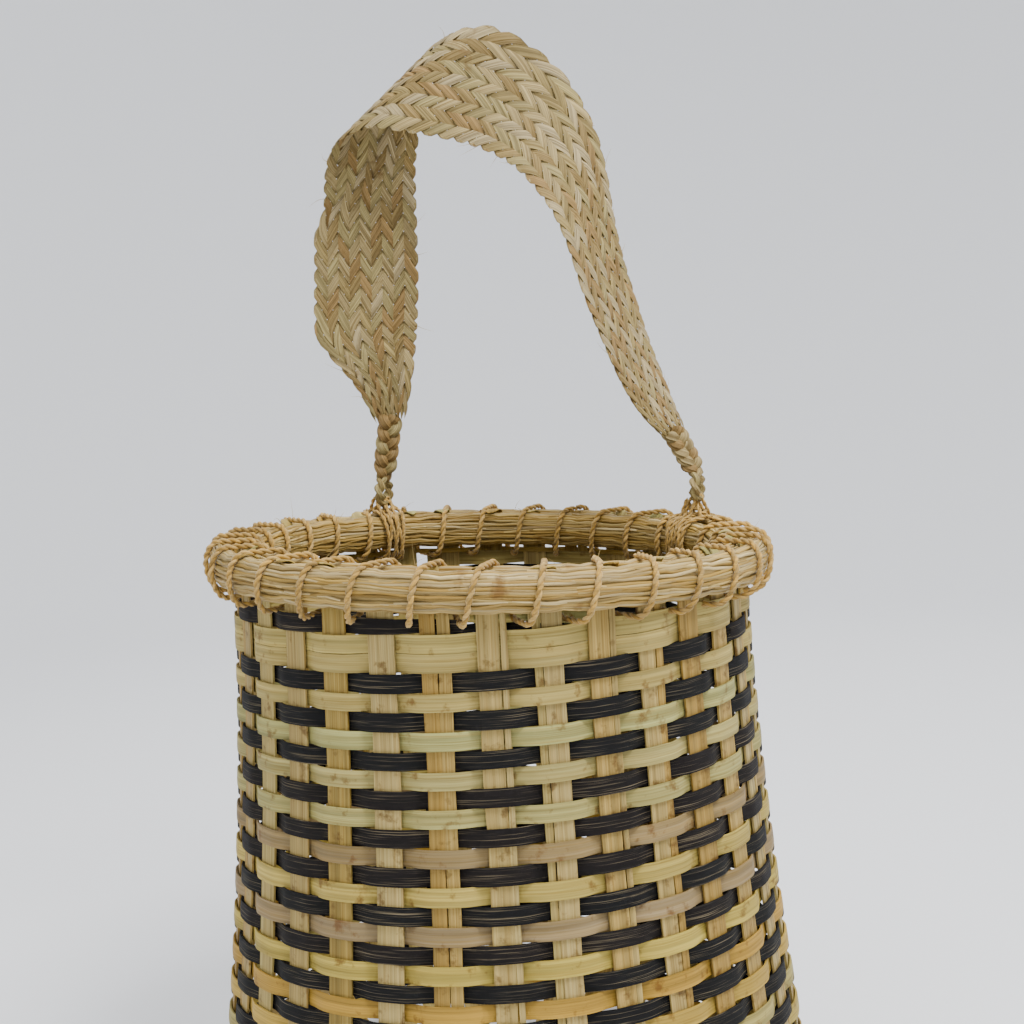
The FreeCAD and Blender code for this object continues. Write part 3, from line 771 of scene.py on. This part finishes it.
# %% Colour the copies
def paint_copies(piece, tones, seed, spread=0.22):
    """Turns the along and copy attributes into the strip's UV map and colour."""
    mesh = piece.data
    vertices = len(mesh.vertices)
    along, copy = np.zeros(vertices), np.zeros(vertices)
    if "along" in mesh.attributes:
        mesh.attributes["along"].data.foreach_get("value", along)
        mesh.attributes["copy"].data.foreach_get("value", copy)
    place = np.zeros(vertices * 3)
    mesh.vertices.foreach_get("co", place)
    place = place.reshape(-1, 3)
    pick = (copy * 997).astype(int) % len(tones)
    colour = np.array(tones)[pick]
    strength = 1 + spread * np.sin(copy * 91 + along * (45 + 30 * copy))
    uv = np.stack([along, copy * 7 + place[:, 2] + seed], -1)
    dress(mesh, uv, colour * strength[:, None])


def oval_core(name, ring_radius, half_width, half_height):
    """The inside of a bundle, which closes the gaps between its stems."""
    turn, roll = np.linspace(0, 2 * math.pi, 160, False), np.linspace(0, 2 * math.pi, 14, False)
    reach = ring_radius + half_width * np.cos(roll)[None]
    grid = np.stack([reach * np.cos(turn)[:, None], reach * np.sin(turn)[:, None],
                     np.broadcast_to(half_height * np.sin(roll), (160, 14))], -1)
    core = Strips()
    core.add_grid(grid, grid[..., :2], shade(120, 95, 58), closed=True)
    shell = core.build(name)
    mesh = shell.data
    bpy.data.objects.remove(shell)
    mesh.uv_layers.remove(mesh.uv_layers[0])
    mesh.color_attributes.remove(mesh.color_attributes[0])
    return mesh


# %% Bind the two bundles
STRAW_TONES = [shade(214, 192, 146), shade(205, 180, 130), shade(222, 204, 164),
               shade(196, 168, 116), shade(210, 188, 140), shade(186, 160, 112)]
straw = straw_tree()
BUNDLE_OFFSET = SPLINT_THICKNESS / 2 + BUNDLE_CLEARANCE + BUNDLE_WIDTH / 2


def build_bundle(name, side, seed, stitch_shift):
    radius = MOUTH_RADIUS + side * BUNDLE_OFFSET
    core = oval_core(name + "_core", radius, BUNDLE_WIDTH * 0.38, BUNDLE_HEIGHT * 0.4)
    piece = run_tree(name, core, straw, {
        "Ring Radius": radius, "Half Width": BUNDLE_WIDTH / 2, "Half Height": BUNDLE_HEIGHT / 2,
        "Stems": 46, "Stem Radius": 0.8 * MM, "Stitch Shift": stitch_shift, "Seed": seed,
        "Material": FINISH["rim_straw"]})
    paint_copies(piece, STRAW_TONES, seed)
    piece.data.transform(RIM_TURN)
    return piece


outer_bundle = build_bundle("outer_straw_bundle", 1, 4, STEP * 0.25)
inner_bundle = build_bundle("inner_straw_bundle", -1, 9, -STEP * 0.25)
finish(outer_bundle, "rim_straw", "basket", "rim_outer_bundle")
finish(inner_bundle, "rim_straw", "basket", "rim_inner_bundle")

# %% [markdown]
# ## Twine
# The lashing is one two-ply twine that winds round both bundles and through the wall under
# them. Its line is a helix with the outline of the two ovals. A node tree turns any line into
# twine: it copies the line twice and winds the copies round each other.

# %% The twine tree
PLY_REACH = 0.8                       # how far a ply's middle is from the line, in its radii


def twine_tree():
    """Two plies wound round a line."""
    number = "NodeSocketFloat"
    tree, given, result = new_group(
        "two_ply_twine",
        [("Geometry", "NodeSocketGeometry", None), ("Ply Radius", number, 0.0006),
         ("Twist Length", number, 0.006), ("Spacing", number, 0.0014),
         ("Material", "NodeSocketMaterial", None)],
        [("Geometry", "NodeSocketGeometry")], "GeometryNodeTree")
    line = put(tree, "GeometryNodeMeshToCurve", {0: given["Geometry"]})
    even = put(tree, "GeometryNodeResampleCurve", mode="LENGTH")
    copies = put(tree, "GeometryNodeDuplicateElements", domain="SPLINE")
    for node, title, value in ((even, "Curve", line.outputs[0]),
                               (even, "Length", given["Spacing"]),
                               (copies, "Geometry", even.outputs[0]), (copies, "Amount", 2)):
        fill(tree, node.inputs[title], value)
    ply = Field(tree, copies.outputs["Duplicate Index"])
    travelled = Field(tree, put(tree, "GeometryNodeSplineParameter").outputs["Length"])
    turn = travelled / given["Twist Length"] * (2 * math.pi) + ply * math.pi
    tangent = put(tree, "GeometryNodeInputTangent").outputs[0]
    normal = put(tree, "GeometryNodeInputNormal").outputs[0]
    side = put(tree, "ShaderNodeVectorMath", {0: tangent, 1: normal}, operation="CROSS_PRODUCT")
    reach = given["Ply Radius"] * PLY_REACH
    parts = [put(tree, "ShaderNodeVectorMath", {0: vector, "Scale": turn.math(wave) * reach},
                 operation="SCALE").outputs[0]
             for vector, wave in ((normal, "COSINE"), (side.outputs[0], "SINE"))]
    offset = put(tree, "ShaderNodeVectorMath", enumerate(parts), operation="ADD")
    moved = put(tree, "GeometryNodeSetPosition", {"Geometry": copies.outputs["Geometry"],
                                                  "Offset": offset.outputs[0]})
    geometry = store(tree, moved.outputs[0], "along", travelled)
    geometry = store(tree, geometry, "copy", ply * 0.37)
    close_tree(tree, result, sweep(tree, geometry, given["Ply Radius"], True), given["Material"])
    return tree


def line_mesh(name, lines):
    """A mesh of open edge chains."""
    points, edges = [], []
    for line in lines:
        edges += [(len(points) + n, len(points) + n + 1) for n in range(len(line) - 1)]
        points += np.asarray(line).tolist()
    mesh = bpy.data.meshes.new(name)
    mesh.from_pydata(points, edges, [])
    return mesh


twine = twine_tree()
TWINE_TONES = [shade(208, 174, 120), shade(196, 160, 104), shade(214, 184, 134)]


def build_twine(name, lines, seed, ply_radius=0.82 * MM):
    piece = run_tree(name, line_mesh(name + "_line", lines), twine, {
        "Ply Radius": ply_radius, "Twist Length": 8 * MM, "Spacing": 1.3 * MM,
        "Material": FINISH["twine"]})
    paint_copies(piece, TWINE_TONES, seed)
    return piece


# %% The lashing's line
TWINE_HALF = 1.4 * MM
TIE_ANGLE = math.radians(135)


def outline_point(share, deep=3.0 * MM, peak=0.0):
    """Outwards and upwards place on the outline of both bundles; 0 is the middle of the top."""
    half_width, half_height = BUNDLE_WIDTH / 2 + TWINE_HALF, BUNDLE_HEIGHT / 2 + TWINE_HALF
    flat, quarter = BUNDLE_OFFSET, math.pi / 2 * (half_width + half_height) / 2
    girth = 4 * flat + 4 * quarter
    travelled = (share % 1.0) * girth
    mirror = 1
    if travelled > girth / 2:
        travelled, mirror = girth - travelled, -1
    if travelled < flat:
        across, height = travelled, half_height + peak * (1 - travelled / flat)
    elif travelled < flat + 2 * quarter:
        turn = (travelled - flat) / (2 * quarter) * math.pi
        across, height = flat + half_width * math.sin(turn), half_height * math.cos(turn)
        if height < 0:
            height -= deep * (1 - math.sin(turn)) ** 0.5
    else:
        across, height = girth / 2 - travelled, -half_height - deep
    return mirror * across, height


def rim_point(angle, across, height):
    """A point beside the rim's tilted middle line."""
    out = direction(angle)
    middle = out * (MOUTH_RADIUS + across)
    middle[2] = rim_level(angle) + height
    return middle


def lashing_lines():
    """The helix, broken at the two ties."""
    chance = random.Random(12)
    lines, line = [], []
    steps = 44
    for count in range(UPRIGHTS):
        gap = -math.pi + STEP * count
        at_tie = abs(abs(gap) - TIE_ANGLE) < STEP / 4
        if at_tie:
            if line:
                lines.append(line)
            line = []
            continue
        jitter = chance.uniform(-0.06, 0.06)
        for step in range(steps):
            share = 1 - step / steps
            across, height = outline_point(share)
            angle = gap + STEP * ((0.5 - share) + jitter * math.sin(math.pi * step / steps))
            line.append(rim_point(angle, across, height))
    lines.append(line)
    return lines


lashing = build_twine("rim_lashing_twine", lashing_lines(), 2)
finish(lashing, "twine", "basket", "rim_lashing")

# %% [markdown]
# ## Ties
# Each braid ends in an eye that twine holds down on the rim. The maker winds it round many
# times, crossing over itself. The line is again worked out turn by turn: each turn leans the
# other way, and the middle ones rise through the eye.

# %% The eyes' places
RIM_UP = np.array([0, 0, 1.0]) - direction(RIM_HIGH_SIDE) * RIM_SLOPE
EYE_RADIUS, EYE_CORD = 6.5 * MM, 2.0 * MM


HINGE = np.array(frame["joints"][0]["pos_m"], float)


def eye_middle(side):
    """Middle of an eye, which stands over its tie on the hinge's line."""
    place = direction(side * TIE_ANGLE) * MOUTH_RADIUS
    lift = HINGE[2] - np.mean([rim_level(-TIE_ANGLE), rim_level(TIE_ANGLE)])
    return np.array([place[0] + RIM_UP[0] * lift, HINGE[1], HINGE[2]])


def tie_lines(side, turns, seed):
    """Turns of twine round the rim, the middle ones through the eye."""
    chance = random.Random(seed)
    strand = HINGE[2] - EYE_RADIUS + EYE_CORD + TWINE_HALF
    line, steps = [], 40
    for turn in range(turns):
        offset = (turn - (turns - 1) / 2) * 1.9 * MM / MOUTH_RADIUS
        lean = (1 if turn % 2 else -1) * chance.uniform(0.7, 1.6) * 2.6 * MM / MOUTH_RADIUS
        middle = abs(turn - (turns - 1) / 2) < 1.6
        angle = side * TIE_ANGLE + offset
        top = strand - float(rim_level(angle)) - BUNDLE_HEIGHT / 2 - TWINE_HALF
        proud = chance.uniform(0.1, 0.9) * MM
        for step in range(steps):
            share = step / steps
            across, height = outline_point(share, peak=top if middle else 0.6 * MM)
            grow = 1 + proud / (12 * MM)
            swing = lean * math.cos(2 * math.pi * share)
            line.append(rim_point(angle + swing, across * grow,
                                  height * grow if not middle or height < 0 else height))
    foot = eye_middle(side)
    low = float(rim_level(side * TIE_ANGLE)) + BUNDLE_HEIGHT / 2 + TWINE_HALF
    high = HINGE[2] - EYE_RADIUS - EYE_CORD - TWINE_HALF - 0.8 * MM
    wraps = max(1.5, (high - low) / (2 * TWINE_HALF))
    roll = np.linspace(0, 2 * math.pi * wraps, int(30 * wraps))
    reach = 4.2 * MM + 0.5 * MM * np.sin(roll * 0.7)
    neck = np.stack([foot[0] + reach * np.cos(roll), foot[1] + reach * np.sin(roll),
                     np.linspace(low, high, len(roll))], -1)
    return [line, list(neck)]


left_tie = build_twine("left_tie_twine", tie_lines(-1, 6, 21), 5, 0.58 * MM)
right_tie = build_twine("right_tie_twine", tie_lines(1, 9, 34), 6, 0.58 * MM)
finish(left_tie, "twine", "basket", "left_tie")
finish(right_tie, "twine", "basket", "right_tie")

# %% [markdown]
# ## Splint tips
# The tips of the uprights show as flat leaves between the two bundles, and many are folded
# over one of them under the twine. Each is a short strip bent over an oval, with a pointed
# end. They stand for no CAD node: in the CAD the uprights simply end inside the rim.

# %% Fold the tips over
def build_tips():
    chance = random.Random(15)
    strips = Strips()
    for count in range(UPRIGHTS):
        if chance.random() < 0.2:
            continue
        angle = SEAM + STEP * (count + 0.5) + chance.uniform(-0.03, 0.03)
        side = chance.choice([-1, -1, 1])
        share = np.linspace(0, 1, 9)
        turn = share * chance.uniform(0.7, 1.5)
        lift = chance.uniform(0.3, 1.4) * MM
        half_width = BUNDLE_WIDTH / 2 + lift
        half_height = BUNDLE_HEIGHT / 2 + lift
        across = side * (BUNDLE_OFFSET + half_width * np.sin(turn - 0.95))
        height = half_height * np.cos(turn - 0.95)
        out = direction(angle)
        level = float(rim_level(angle))
        centre = out * (MOUTH_RADIUS + across)[:, None]
        centre[:, 2] = level + height
        forward = unit(np.gradient(centre, axis=0))
        around = unit(np.cross([0, 0, 1.0], out)) + forward * chance.uniform(-0.5, 0.5)
        around = unit(around)
        normal = unit(np.cross(around, forward))
        normal *= np.sign(normal[:, 2:3] + 1e-9)
        width = chance.uniform(3.2, 6.2) * MM * np.sqrt(np.clip(1.02 - share ** 2.2, 0, 1))
        tone = chance.choice([shade(214, 200, 150), shade(205, 184, 130), shade(196, 190, 138),
                              shade(188, 160, 110)])
        strips.add_strip(centre, around, normal, -width, width, 0.5 * MM, 0.3 * MM, tone, chance)
    return strips.build("splint_tips")


tips = build_tips()
tips.data.materials.append(FINISH["pale_splint"])
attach(tips, "basket")

# %% [markdown]
# ## The strap's surface
# The strap rises from the left braid as a flat band, folds forwards over a slanting line and
# comes down to the right braid almost edge-on. The CAD gives it as sections: middle, direction
# across, and width. A smooth curve through those sections gives a surface with two
# coordinates, along and across, that a plait can be laid on.

# %% Sections of the strap
STRAP_RISE, STRAP_WIDTH = 202 * MM, 50 * MM
STRAP = np.array([
    (-0.65, 0.71, 0.173, 0.96, 0.29, 0.00, 0.28), (-0.67, 0.7, 0.275, 0.96, 0.29, 0.00, 0.57),
    (-0.73, 0.69, 0.388, 0.96, 0.29, 0.00, 0.96), (-0.72, 0.69, 0.490, 0.96, 0.29, 0.00, 1.00),
    (-0.71, 0.69, 0.602, 0.93, 0.28, 0.24, 1.03), (-0.7, 0.69, 0.724, 0.85, 0.25, 0.47, 1.13),
    (-0.66, 0.69, 0.816, 0.72, 0.22, 0.66, 1.30), (-0.64, 0.67, 0.877, 0.72, 0.22, 0.66, 1.30),
    (-0.6, 0.61, 0.928, 0.72, 0.22, 0.66, 1.30), (-0.53, 0.54, 0.969, 0.72, 0.22, 0.66, 1.30),
    (-0.43, 0.48, 0.989, 0.72, 0.22, 0.66, 1.30), (-0.33, 0.45, 0.999, 0.72, 0.22, 0.66, 1.30),
    (-0.22, 0.46, 0.989, 0.68, 0.20, 0.70, 1.26), (-0.1, 0.49, 0.969, 0.55, 0.19, 0.81, 1.12),
    (0.02, 0.52, 0.938, 0.44, 0.24, 0.86, 1.04), (0.15, 0.56, 0.877, 0.40, 0.42, 0.81, 1.00),
    (0.26, 0.59, 0.775, 0.32, 0.65, 0.70, 1.00), (0.31, 0.61, 0.683, 0.24, 0.78, 0.58, 1.00),
    (0.34, 0.62, 0.591, 0.18, 0.87, 0.45, 1.00), (0.37, 0.63, 0.510, 0.17, 0.93, 0.30, 1.00),
    (0.41, 0.65, 0.428, 0.18, 0.96, 0.16, 1.00), (0.46, 0.66, 0.337, 0.20, 0.97, 0.08, 0.94),
    (0.51, 0.68, 0.255, 0.29, 0.95, 0.00, 0.80), (0.565, 0.69, 0.184, 0.42, 0.91, 0.00, 0.56),
    (0.63, 0.71, 0.122, 0.60, 0.80, 0.00, 0.30)])
SURFACE_STEPS = 600


def smooth_curve(rows, samples):
    """Values on a smooth curve through rows, evenly spaced between them."""
    padded = np.concatenate([2 * rows[:1] - rows[1:2], rows, 2 * rows[-1:] - rows[-2:-1]])
    place = np.linspace(0, len(rows) - 1, samples)
    index = np.minimum(place.astype(int), len(rows) - 2)
    t = (place - index)[:, None]
    a, b, c, d = (padded[index + shift] for shift in range(4))
    return 0.5 * (2 * b + (c - a) * t + (2 * a - 5 * b + 4 * c - d) * t ** 2
                  + (3 * b - a - 3 * c + d) * t ** 3)


def strap_sections():
    """Middle, direction across, width and distance along, closely spaced."""
    curve = smooth_curve(STRAP, 3000)
    blur = np.hanning(121) / np.hanning(121).sum()
    wide = np.concatenate([np.repeat(curve[:1], 60, 0), curve, np.repeat(curve[-1:], 60, 0)])
    eased = np.stack([np.convolve(wide[:, n], blur, "valid") for n in range(7)], -1)
    ends = np.minimum(np.arange(3000), np.arange(3000)[::-1])[:, None]
    share = np.clip(ends / 150, 0, 1)
    curve = curve * (1 - share) + eased * share
    middle = curve[:, :3] * [MOUTH_RADIUS, MOUTH_RADIUS, STRAP_RISE] + [0, 0, HINGE[2]]
    travelled = travelled_along(middle)
    even = np.linspace(0, travelled[-1], SURFACE_STEPS)
    columns = np.concatenate([middle, curve[:, 3:]], 1)
    columns = np.stack([np.interp(even, travelled, columns[:, n]) for n in range(7)], -1)
    return columns[:, :3], unit(columns[:, 3:6]), columns[:, 6] * STRAP_WIDTH, even


BAND_MIDDLE, BAND_ACROSS, BAND_WIDTH, BAND_ALONG = strap_sections()
BAND_NORMAL = unit(np.cross(np.gradient(BAND_MIDDLE, axis=0), BAND_ACROSS))
BAND_LENGTH = BAND_ALONG[-1]
BAND_LEAN = np.sum(unit(np.gradient(BAND_MIDDLE, axis=0)) * BAND_ACROSS, -1)
print("the band is %.0f mm long" % (BAND_LENGTH / MM))


def band_at(along, across):
    """Point and normal; across runs from -0.5 to 0.5 of the band's width there.

    Where a section crosses the band at a slant, the place along is moved back by what the
    slant adds, so that the plait stays square over the fold.
    """
    def pick(table):
        return np.stack([np.interp(at, BAND_ALONG, table[:, n]) for n in range(3)], -1)
    at = along
    for _ in range(8):
        reach = across * np.interp(at, BAND_ALONG, BAND_WIDTH)
        at = along - reach * np.interp(at, BAND_ALONG, BAND_LEAN)
    return pick(BAND_MIDDLE) + unit(pick(BAND_ACROSS)) * reach[..., None], unit(pick(BAND_NORMAL))


# %% [markdown]
# ## The plait
# The band is a twill plait: leaf strips cross it at a slant in two directions, each over two
# and under two, so that floats leaning one way and the other stand in columns, like ears of
# wheat. A bump texture can't show that at an edge, so each leaf strip is built: its place is
# counted in strips of both directions, and the surface above turns counts into points.

# %% Plait the band
STRANDS = 18
CELL = STRAP_WIDTH / STRANDS
STEEP = 1.6                           # the leaf strips lean nearer to the band's length
PALM_TONES = [shade(208, 190, 150), shade(194, 176, 134), shade(220, 204, 168),
              shade(184, 158, 120), shade(200, 186, 144), shade(178, 158, 120)]


def plait_strip(strips, number, leans_right, chance):
    """One leaf strip across the band, over two and under two."""
    half = STRANDS / 2
    per_cell = 3
    cross = np.linspace(-half - 0.35, half + 0.35, int((STRANDS + 0.7) * per_cell))
    side = 1 if leans_right else -1
    share = np.array([-0.47, -0.16, 0.16, 0.47])
    section = np.concatenate([share, share[::-1][[0, 3]]])
    lift = np.array([-0.3, 0.1, 0.1, -0.3, -0.75, -0.75]) * MM * 0.6
    spot = cross[:, None] + 0 * section
    shift = section[None, :]
    along = (number + side * spot + shift) * CELL * STEEP
    across = (spot - side * shift) / STRANDS
    inside = (along > 0) & (along < BAND_LENGTH)
    keep = inside.all(1)
    if keep.sum() < 4:
        return
    column = np.floor((cross + half) / 2.0)
    from_middle = np.abs(((cross + half) % 2.0) - 1.0)
    over = np.where((column % 2 == 0) == leans_right, 1.0, -1.0)
    wave = over * np.sin(np.clip((1 - from_middle) / 0.5, 0, 1) * math.pi / 2)
    ending = np.clip((half + 0.35 - np.abs(cross)) / 0.7, 0, 1)
    height = wave * 0.62 * MM * ending
    point, normal = band_at(along[keep], np.clip(across[keep], -0.53, 0.53))
    body = height[keep][:, None] + lift[None]
    grid = point + normal * body[..., None]
    travelled = cross[keep][:, None] * CELL * math.hypot(1, STEEP) + chance.uniform(0, 9)
    uv = np.stack(np.broadcast_arrays(travelled, section[None] * CELL * 2
                                      + chance.uniform(0, 9)), -1)
    tone = chance.choice(PALM_TONES) * chance.uniform(0.9, 1.08)
    strips.add_grid(grid, uv, tone * (1 + 0.08 * wobble(cross[keep], 5, number + 99)[:, None]))


def build_band():
    chance = random.Random(8)
    strips = Strips()
    reach = int(BAND_LENGTH / CELL / STEEP) + STRANDS
    for number in range(-STRANDS, reach, 2):
        plait_strip(strips, number, True, chance)
        plait_strip(strips, number, False, chance)
    return strips.build("plaited_band")


band = build_band()
finish(band, "plaited_palm", "strap", "strap_band")

# %% [markdown]
# ## Braids
# Where the band narrows, its leaf strips gather in three strands that are braided down to the
# rim. Each strand swings from side to side once while it dips twice behind the others, which
# two sine waves describe. The strands are swept as grooved tubes, so that they read as folded
# leaf, and the eye is a ring of the same.

# %% Braid the strands
GROOVES = 7
RING_CORNERS = 21


def grooved_section(half_width, half_depth):
    """A flattened round section with shallow folds."""
    roll = np.linspace(0, 2 * math.pi, RING_CORNERS, False)
    fold = 1 + 0.09 * np.cos(GROOVES * roll)
    return half_width * fold * np.cos(roll), half_depth * fold * np.sin(roll)


def tube(strips, centre, across, normal, half_width, half_depth, colour, chance, closed=False):
    """Sweeps a grooved section along a line; the half sizes may change on the way."""
    wide, deep = grooved_section(1.0, 1.0)
    half_width = np.broadcast_to(half_width, len(centre))[:, None, None]
    half_depth = np.broadcast_to(half_depth, len(centre))[:, None, None]
    grid = (centre[:, None] + across[:, None] * wide[None, :, None] * half_width
            + normal[:, None] * deep[None, :, None] * half_depth)
    travelled = np.arange(len(centre)) * float(np.linalg.norm(centre[1] - centre[0]))
    uv = np.stack(np.broadcast_arrays(travelled[:, None] + chance.uniform(0, 9),
                                      np.arange(RING_CORNERS)[None] * 0.8 * MM), -1)
    strips.add_grid(grid, uv, colour, closed)


def build_braid(name, side, seed):
    chance = random.Random(seed)
    strips = Strips()
    end = 0 if side < 0 else -1
    top, across_top = BAND_MIDDLE[end], BAND_ACROSS[end]
    into_band = unit(BAND_MIDDLE[8] - top) if side < 0 else unit(BAND_MIDDLE[-9] - top)
    foot = eye_middle(side) + [0, 0, EYE_RADIUS - 1 * MM]
    share = np.linspace(0, 1.12, 90)
    straight = foot + (top - foot) * share[:, None]
    past = np.clip(share - 1, 0, None)[:, None]
    middle = np.where(past > 0, top + into_band * past * np.linalg.norm(top - foot), straight)
    run = unit(top - foot)
    blend = np.clip(share, 0, 1)[:, None]
    across = unit(np.array([0.35, 1, 0]) * (1 - blend) * 0.6
                  + np.array([1.0, 0.25, 0]) * blend + across_top * blend)
    across = unit(across - (across @ run)[:, None] * run)
    through = unit(np.cross(across, run))
    for strand in range(3):
        phase = 2 * math.pi * (1.55 * share + strand / 3) + 0.6
        narrow = (0.62 + 0.38 * np.clip(share * 4, 0, 1)) * (1 + 0.1 * np.clip(share - 0.8, 0, 1))
        swing, dip = np.sin(phase) * 3.3 * MM * narrow, np.sin(2 * phase) * 1.7 * MM * narrow
        centre = middle + across * swing[:, None] + through * dip[:, None]
        heading = unit(np.gradient(centre, axis=0))
        side_way = unit(np.cross(through, heading))
        face = unit(np.cross(heading, side_way))
        tone = chance.choice(PALM_TONES) * chance.uniform(0.88, 1.0)
        tube(strips, centre, side_way, face, 2.75 * MM * narrow, 1.9 * MM * narrow, tone, chance)
    turn = np.linspace(0, 2 * math.pi, 48, False)
    out = np.stack([0 * turn, np.cos(turn), np.sin(turn)], -1)
    for ply in range(2):
        roll = turn * 4 + ply * math.pi
        centre = (eye_middle(side) + out * (EYE_RADIUS + 0.75 * MM * np.cos(roll))[:, None]
                  + np.array([1.0, 0, 0]) * (1.35 * MM * np.sin(roll))[:, None])
        tube(strips, centre, np.tile([1.0, 0, 0], (48, 1)), out, 1.5 * MM, 1.2 * MM,
             chance.choice(PALM_TONES), chance, closed=True)
    return strips.build(name)


left_braid = build_braid("left_palm_braid", -1, 41)
right_braid = build_braid("right_palm_braid", 1, 43)
finish(left_braid, "plaited_palm", "strap", "left_braid")
finish(right_braid, "plaited_palm", "strap", "right_braid")

# %% [markdown]
# ## Loose fibres
# Dry leaf frays: fine fibres stand off the strap's edges and off the rim. Each is a thin
# tapering thread that leaves its edge at a slant and curls a little.

# %% Fray the edges
def add_fibre(strips, start, heading, length, curl):
    """A thread from a point, curling towards a direction."""
    share = np.linspace(0, 1, 12)
    centre = start + (heading * share[:, None] + curl * (share ** 2)[:, None]) * length
    forward = unit(np.gradient(centre, axis=0))
    side_way = unit(np.cross(forward, [0.3, 0.2, 1.0]))
    thick = 0.13 * MM * (1.15 - share)
    wide = np.cross(forward, side_way)
    roll = np.linspace(0, 2 * math.pi, 4, False)
    grid = (centre[:, None] + (side_way[:, None] * np.cos(roll)[None, :, None]
                               + wide[:, None] * np.sin(roll)[None, :, None])
            * thick[:, None, None])
    strips.add_grid(grid, np.zeros((12, 4, 2)), shade(205, 184, 140), False)


def random_direction(chance):
    return unit(np.array([chance.gauss(0, 1) for _ in range(3)]))


def build_strap_fibres():
    chance = random.Random(77)
    strips = Strips()
    for _ in range(26):
        along, edge = chance.uniform(0.03, 0.97) * BAND_LENGTH, chance.choice([-0.5, 0.5])
        point, _ = band_at(np.array(along), np.array(edge))
        across = np.array([np.interp(along, BAND_ALONG, BAND_ACROSS[:, n]) for n in range(3)])
        heading = unit(across * edge * 2 + random_direction(chance) * 0.8)
        add_fibre(strips, point, heading, chance.uniform(3, 9) * MM,
                  random_direction(chance) * 0.7)
    return strips.build("strap_fibres")


def build_rim_fibres():
    chance = random.Random(78)
    strips = Strips()
    for _ in range(40):
        angle = chance.uniform(-math.pi, math.pi)
        start = rim_point(angle, chance.choice([-1, 1]) * BUNDLE_OFFSET, BUNDLE_HEIGHT / 2)
        heading = unit(np.array([0, 0, 0.6]) + random_direction(chance) * 0.8)
        add_fibre(strips, start, heading, chance.uniform(3, 9) * MM,
                  random_direction(chance) * 0.8)
    return strips.build("rim_fibres")


for fibres, body in ((build_strap_fibres(), "strap"), (build_rim_fibres(), "basket")):
    fibres.data.materials.append(FINISH["twine"])
    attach(fibres, body)

# %% [markdown]
# ## Studio
# The basket stands in a pale, softly lit studio. A floor that sweeps up into a wall on all
# sides has no edge behind the object from any angle. Large soft lights above and in front
# leave gentle shadows between the strips.

# %% Floor that sweeps up
def build_studio():
    """A round floor whose rim sweeps up into a wall."""
    flat, sweep, top = 1.3, 0.9, 3.2
    turn = np.linspace(0, math.pi / 2, 16)
    radius = np.concatenate([[0.02, flat * 0.5], flat + sweep * np.sin(turn), [flat + sweep]])
    height = np.concatenate([[0, 0], sweep * (1 - np.cos(turn)), [top]])
    around = np.linspace(0, 2 * math.pi, 96, False)
    grid = np.stack([radius[:, None] * np.cos(around), radius[:, None] * np.sin(around),
                     np.broadcast_to(height[:, None], (len(radius), 96))], -1)
    index = np.arange(len(radius) * 96).reshape(len(radius), 96)
    ahead = np.roll(index, -1, 1)
    faces = np.stack([index[:-1], ahead[:-1], ahead[1:], index[1:]], -1).reshape(-1, 4)
    mesh = bpy.data.meshes.new("studio_floor")
    mesh.from_pydata(grid.reshape(-1, 3).tolist(), [], faces.tolist() + [index[0].tolist()])
    mesh.polygons.foreach_set("use_smooth", np.ones(len(mesh.polygons), bool))
    material = bpy.data.materials.new("pale_paper")
    material.use_nodes = True
    shader = material.node_tree.nodes["Principled BSDF"]
    shader.inputs["Base Color"].default_value = (0.83, 0.84, 0.86, 1)
    shader.inputs["Roughness"].default_value = 0.9
    shader.inputs["Specular IOR Level"].default_value = 0.1
    mesh.materials.append(material)
    return link_to_scene("studio_floor", mesh)


build_studio()

# %% Lights and camera
CAMERA_TURN = math.radians(16.6)


def soft_light(name, azimuth, elevation, distance, size, power):
    """A square soft light that points at the middle of the basket."""
    lamp = bpy.data.lights.new(name, "AREA")
    lamp.size, lamp.energy = size, power
    turn, rise = math.radians(azimuth) + CAMERA_TURN, math.radians(elevation)
    holder = link_to_scene(name, lamp)
    flat = distance * math.cos(rise)
    holder.location = (math.sin(turn) * flat, -math.cos(turn) * flat,
                       0.25 + distance * math.sin(rise))
    holder.rotation_euler = Euler((math.pi / 2 - rise, 0, turn), "XYZ")


soft_light("key_light", 40, 58, 1.4, 0.6, 30)
soft_light("fill_light", -60, 25, 1.6, 1.2, 5)
soft_light("back_light", 160, 60, 1.6, 1.0, 16)
world = bpy.context.scene.world or bpy.data.worlds.new("studio_sky")
bpy.context.scene.world = world
world.use_nodes = True
world.node_tree.nodes["Background"].inputs["Color"].default_value = (0.98, 0.99, 1.0, 1)
world.node_tree.nodes["Background"].inputs["Strength"].default_value = 0.75

camera_data = bpy.data.cameras.new("camera")
camera_data.lens, camera_data.sensor_width = 63.5, 36
camera = link_to_scene("camera", camera_data)
camera.matrix_world = (Matrix.Translation((0.2449, -0.7822, 0.3815))
                       @ Matrix.Rotation(CAMERA_TURN, 4, "Z")
                       @ Matrix.Rotation(math.radians(83), 4, "X")
                       @ Matrix.Rotation(math.radians(-2.91), 4, "Z"))
bpy.context.scene.camera = camera
print("camera and", len(bpy.data.lights), "lights")
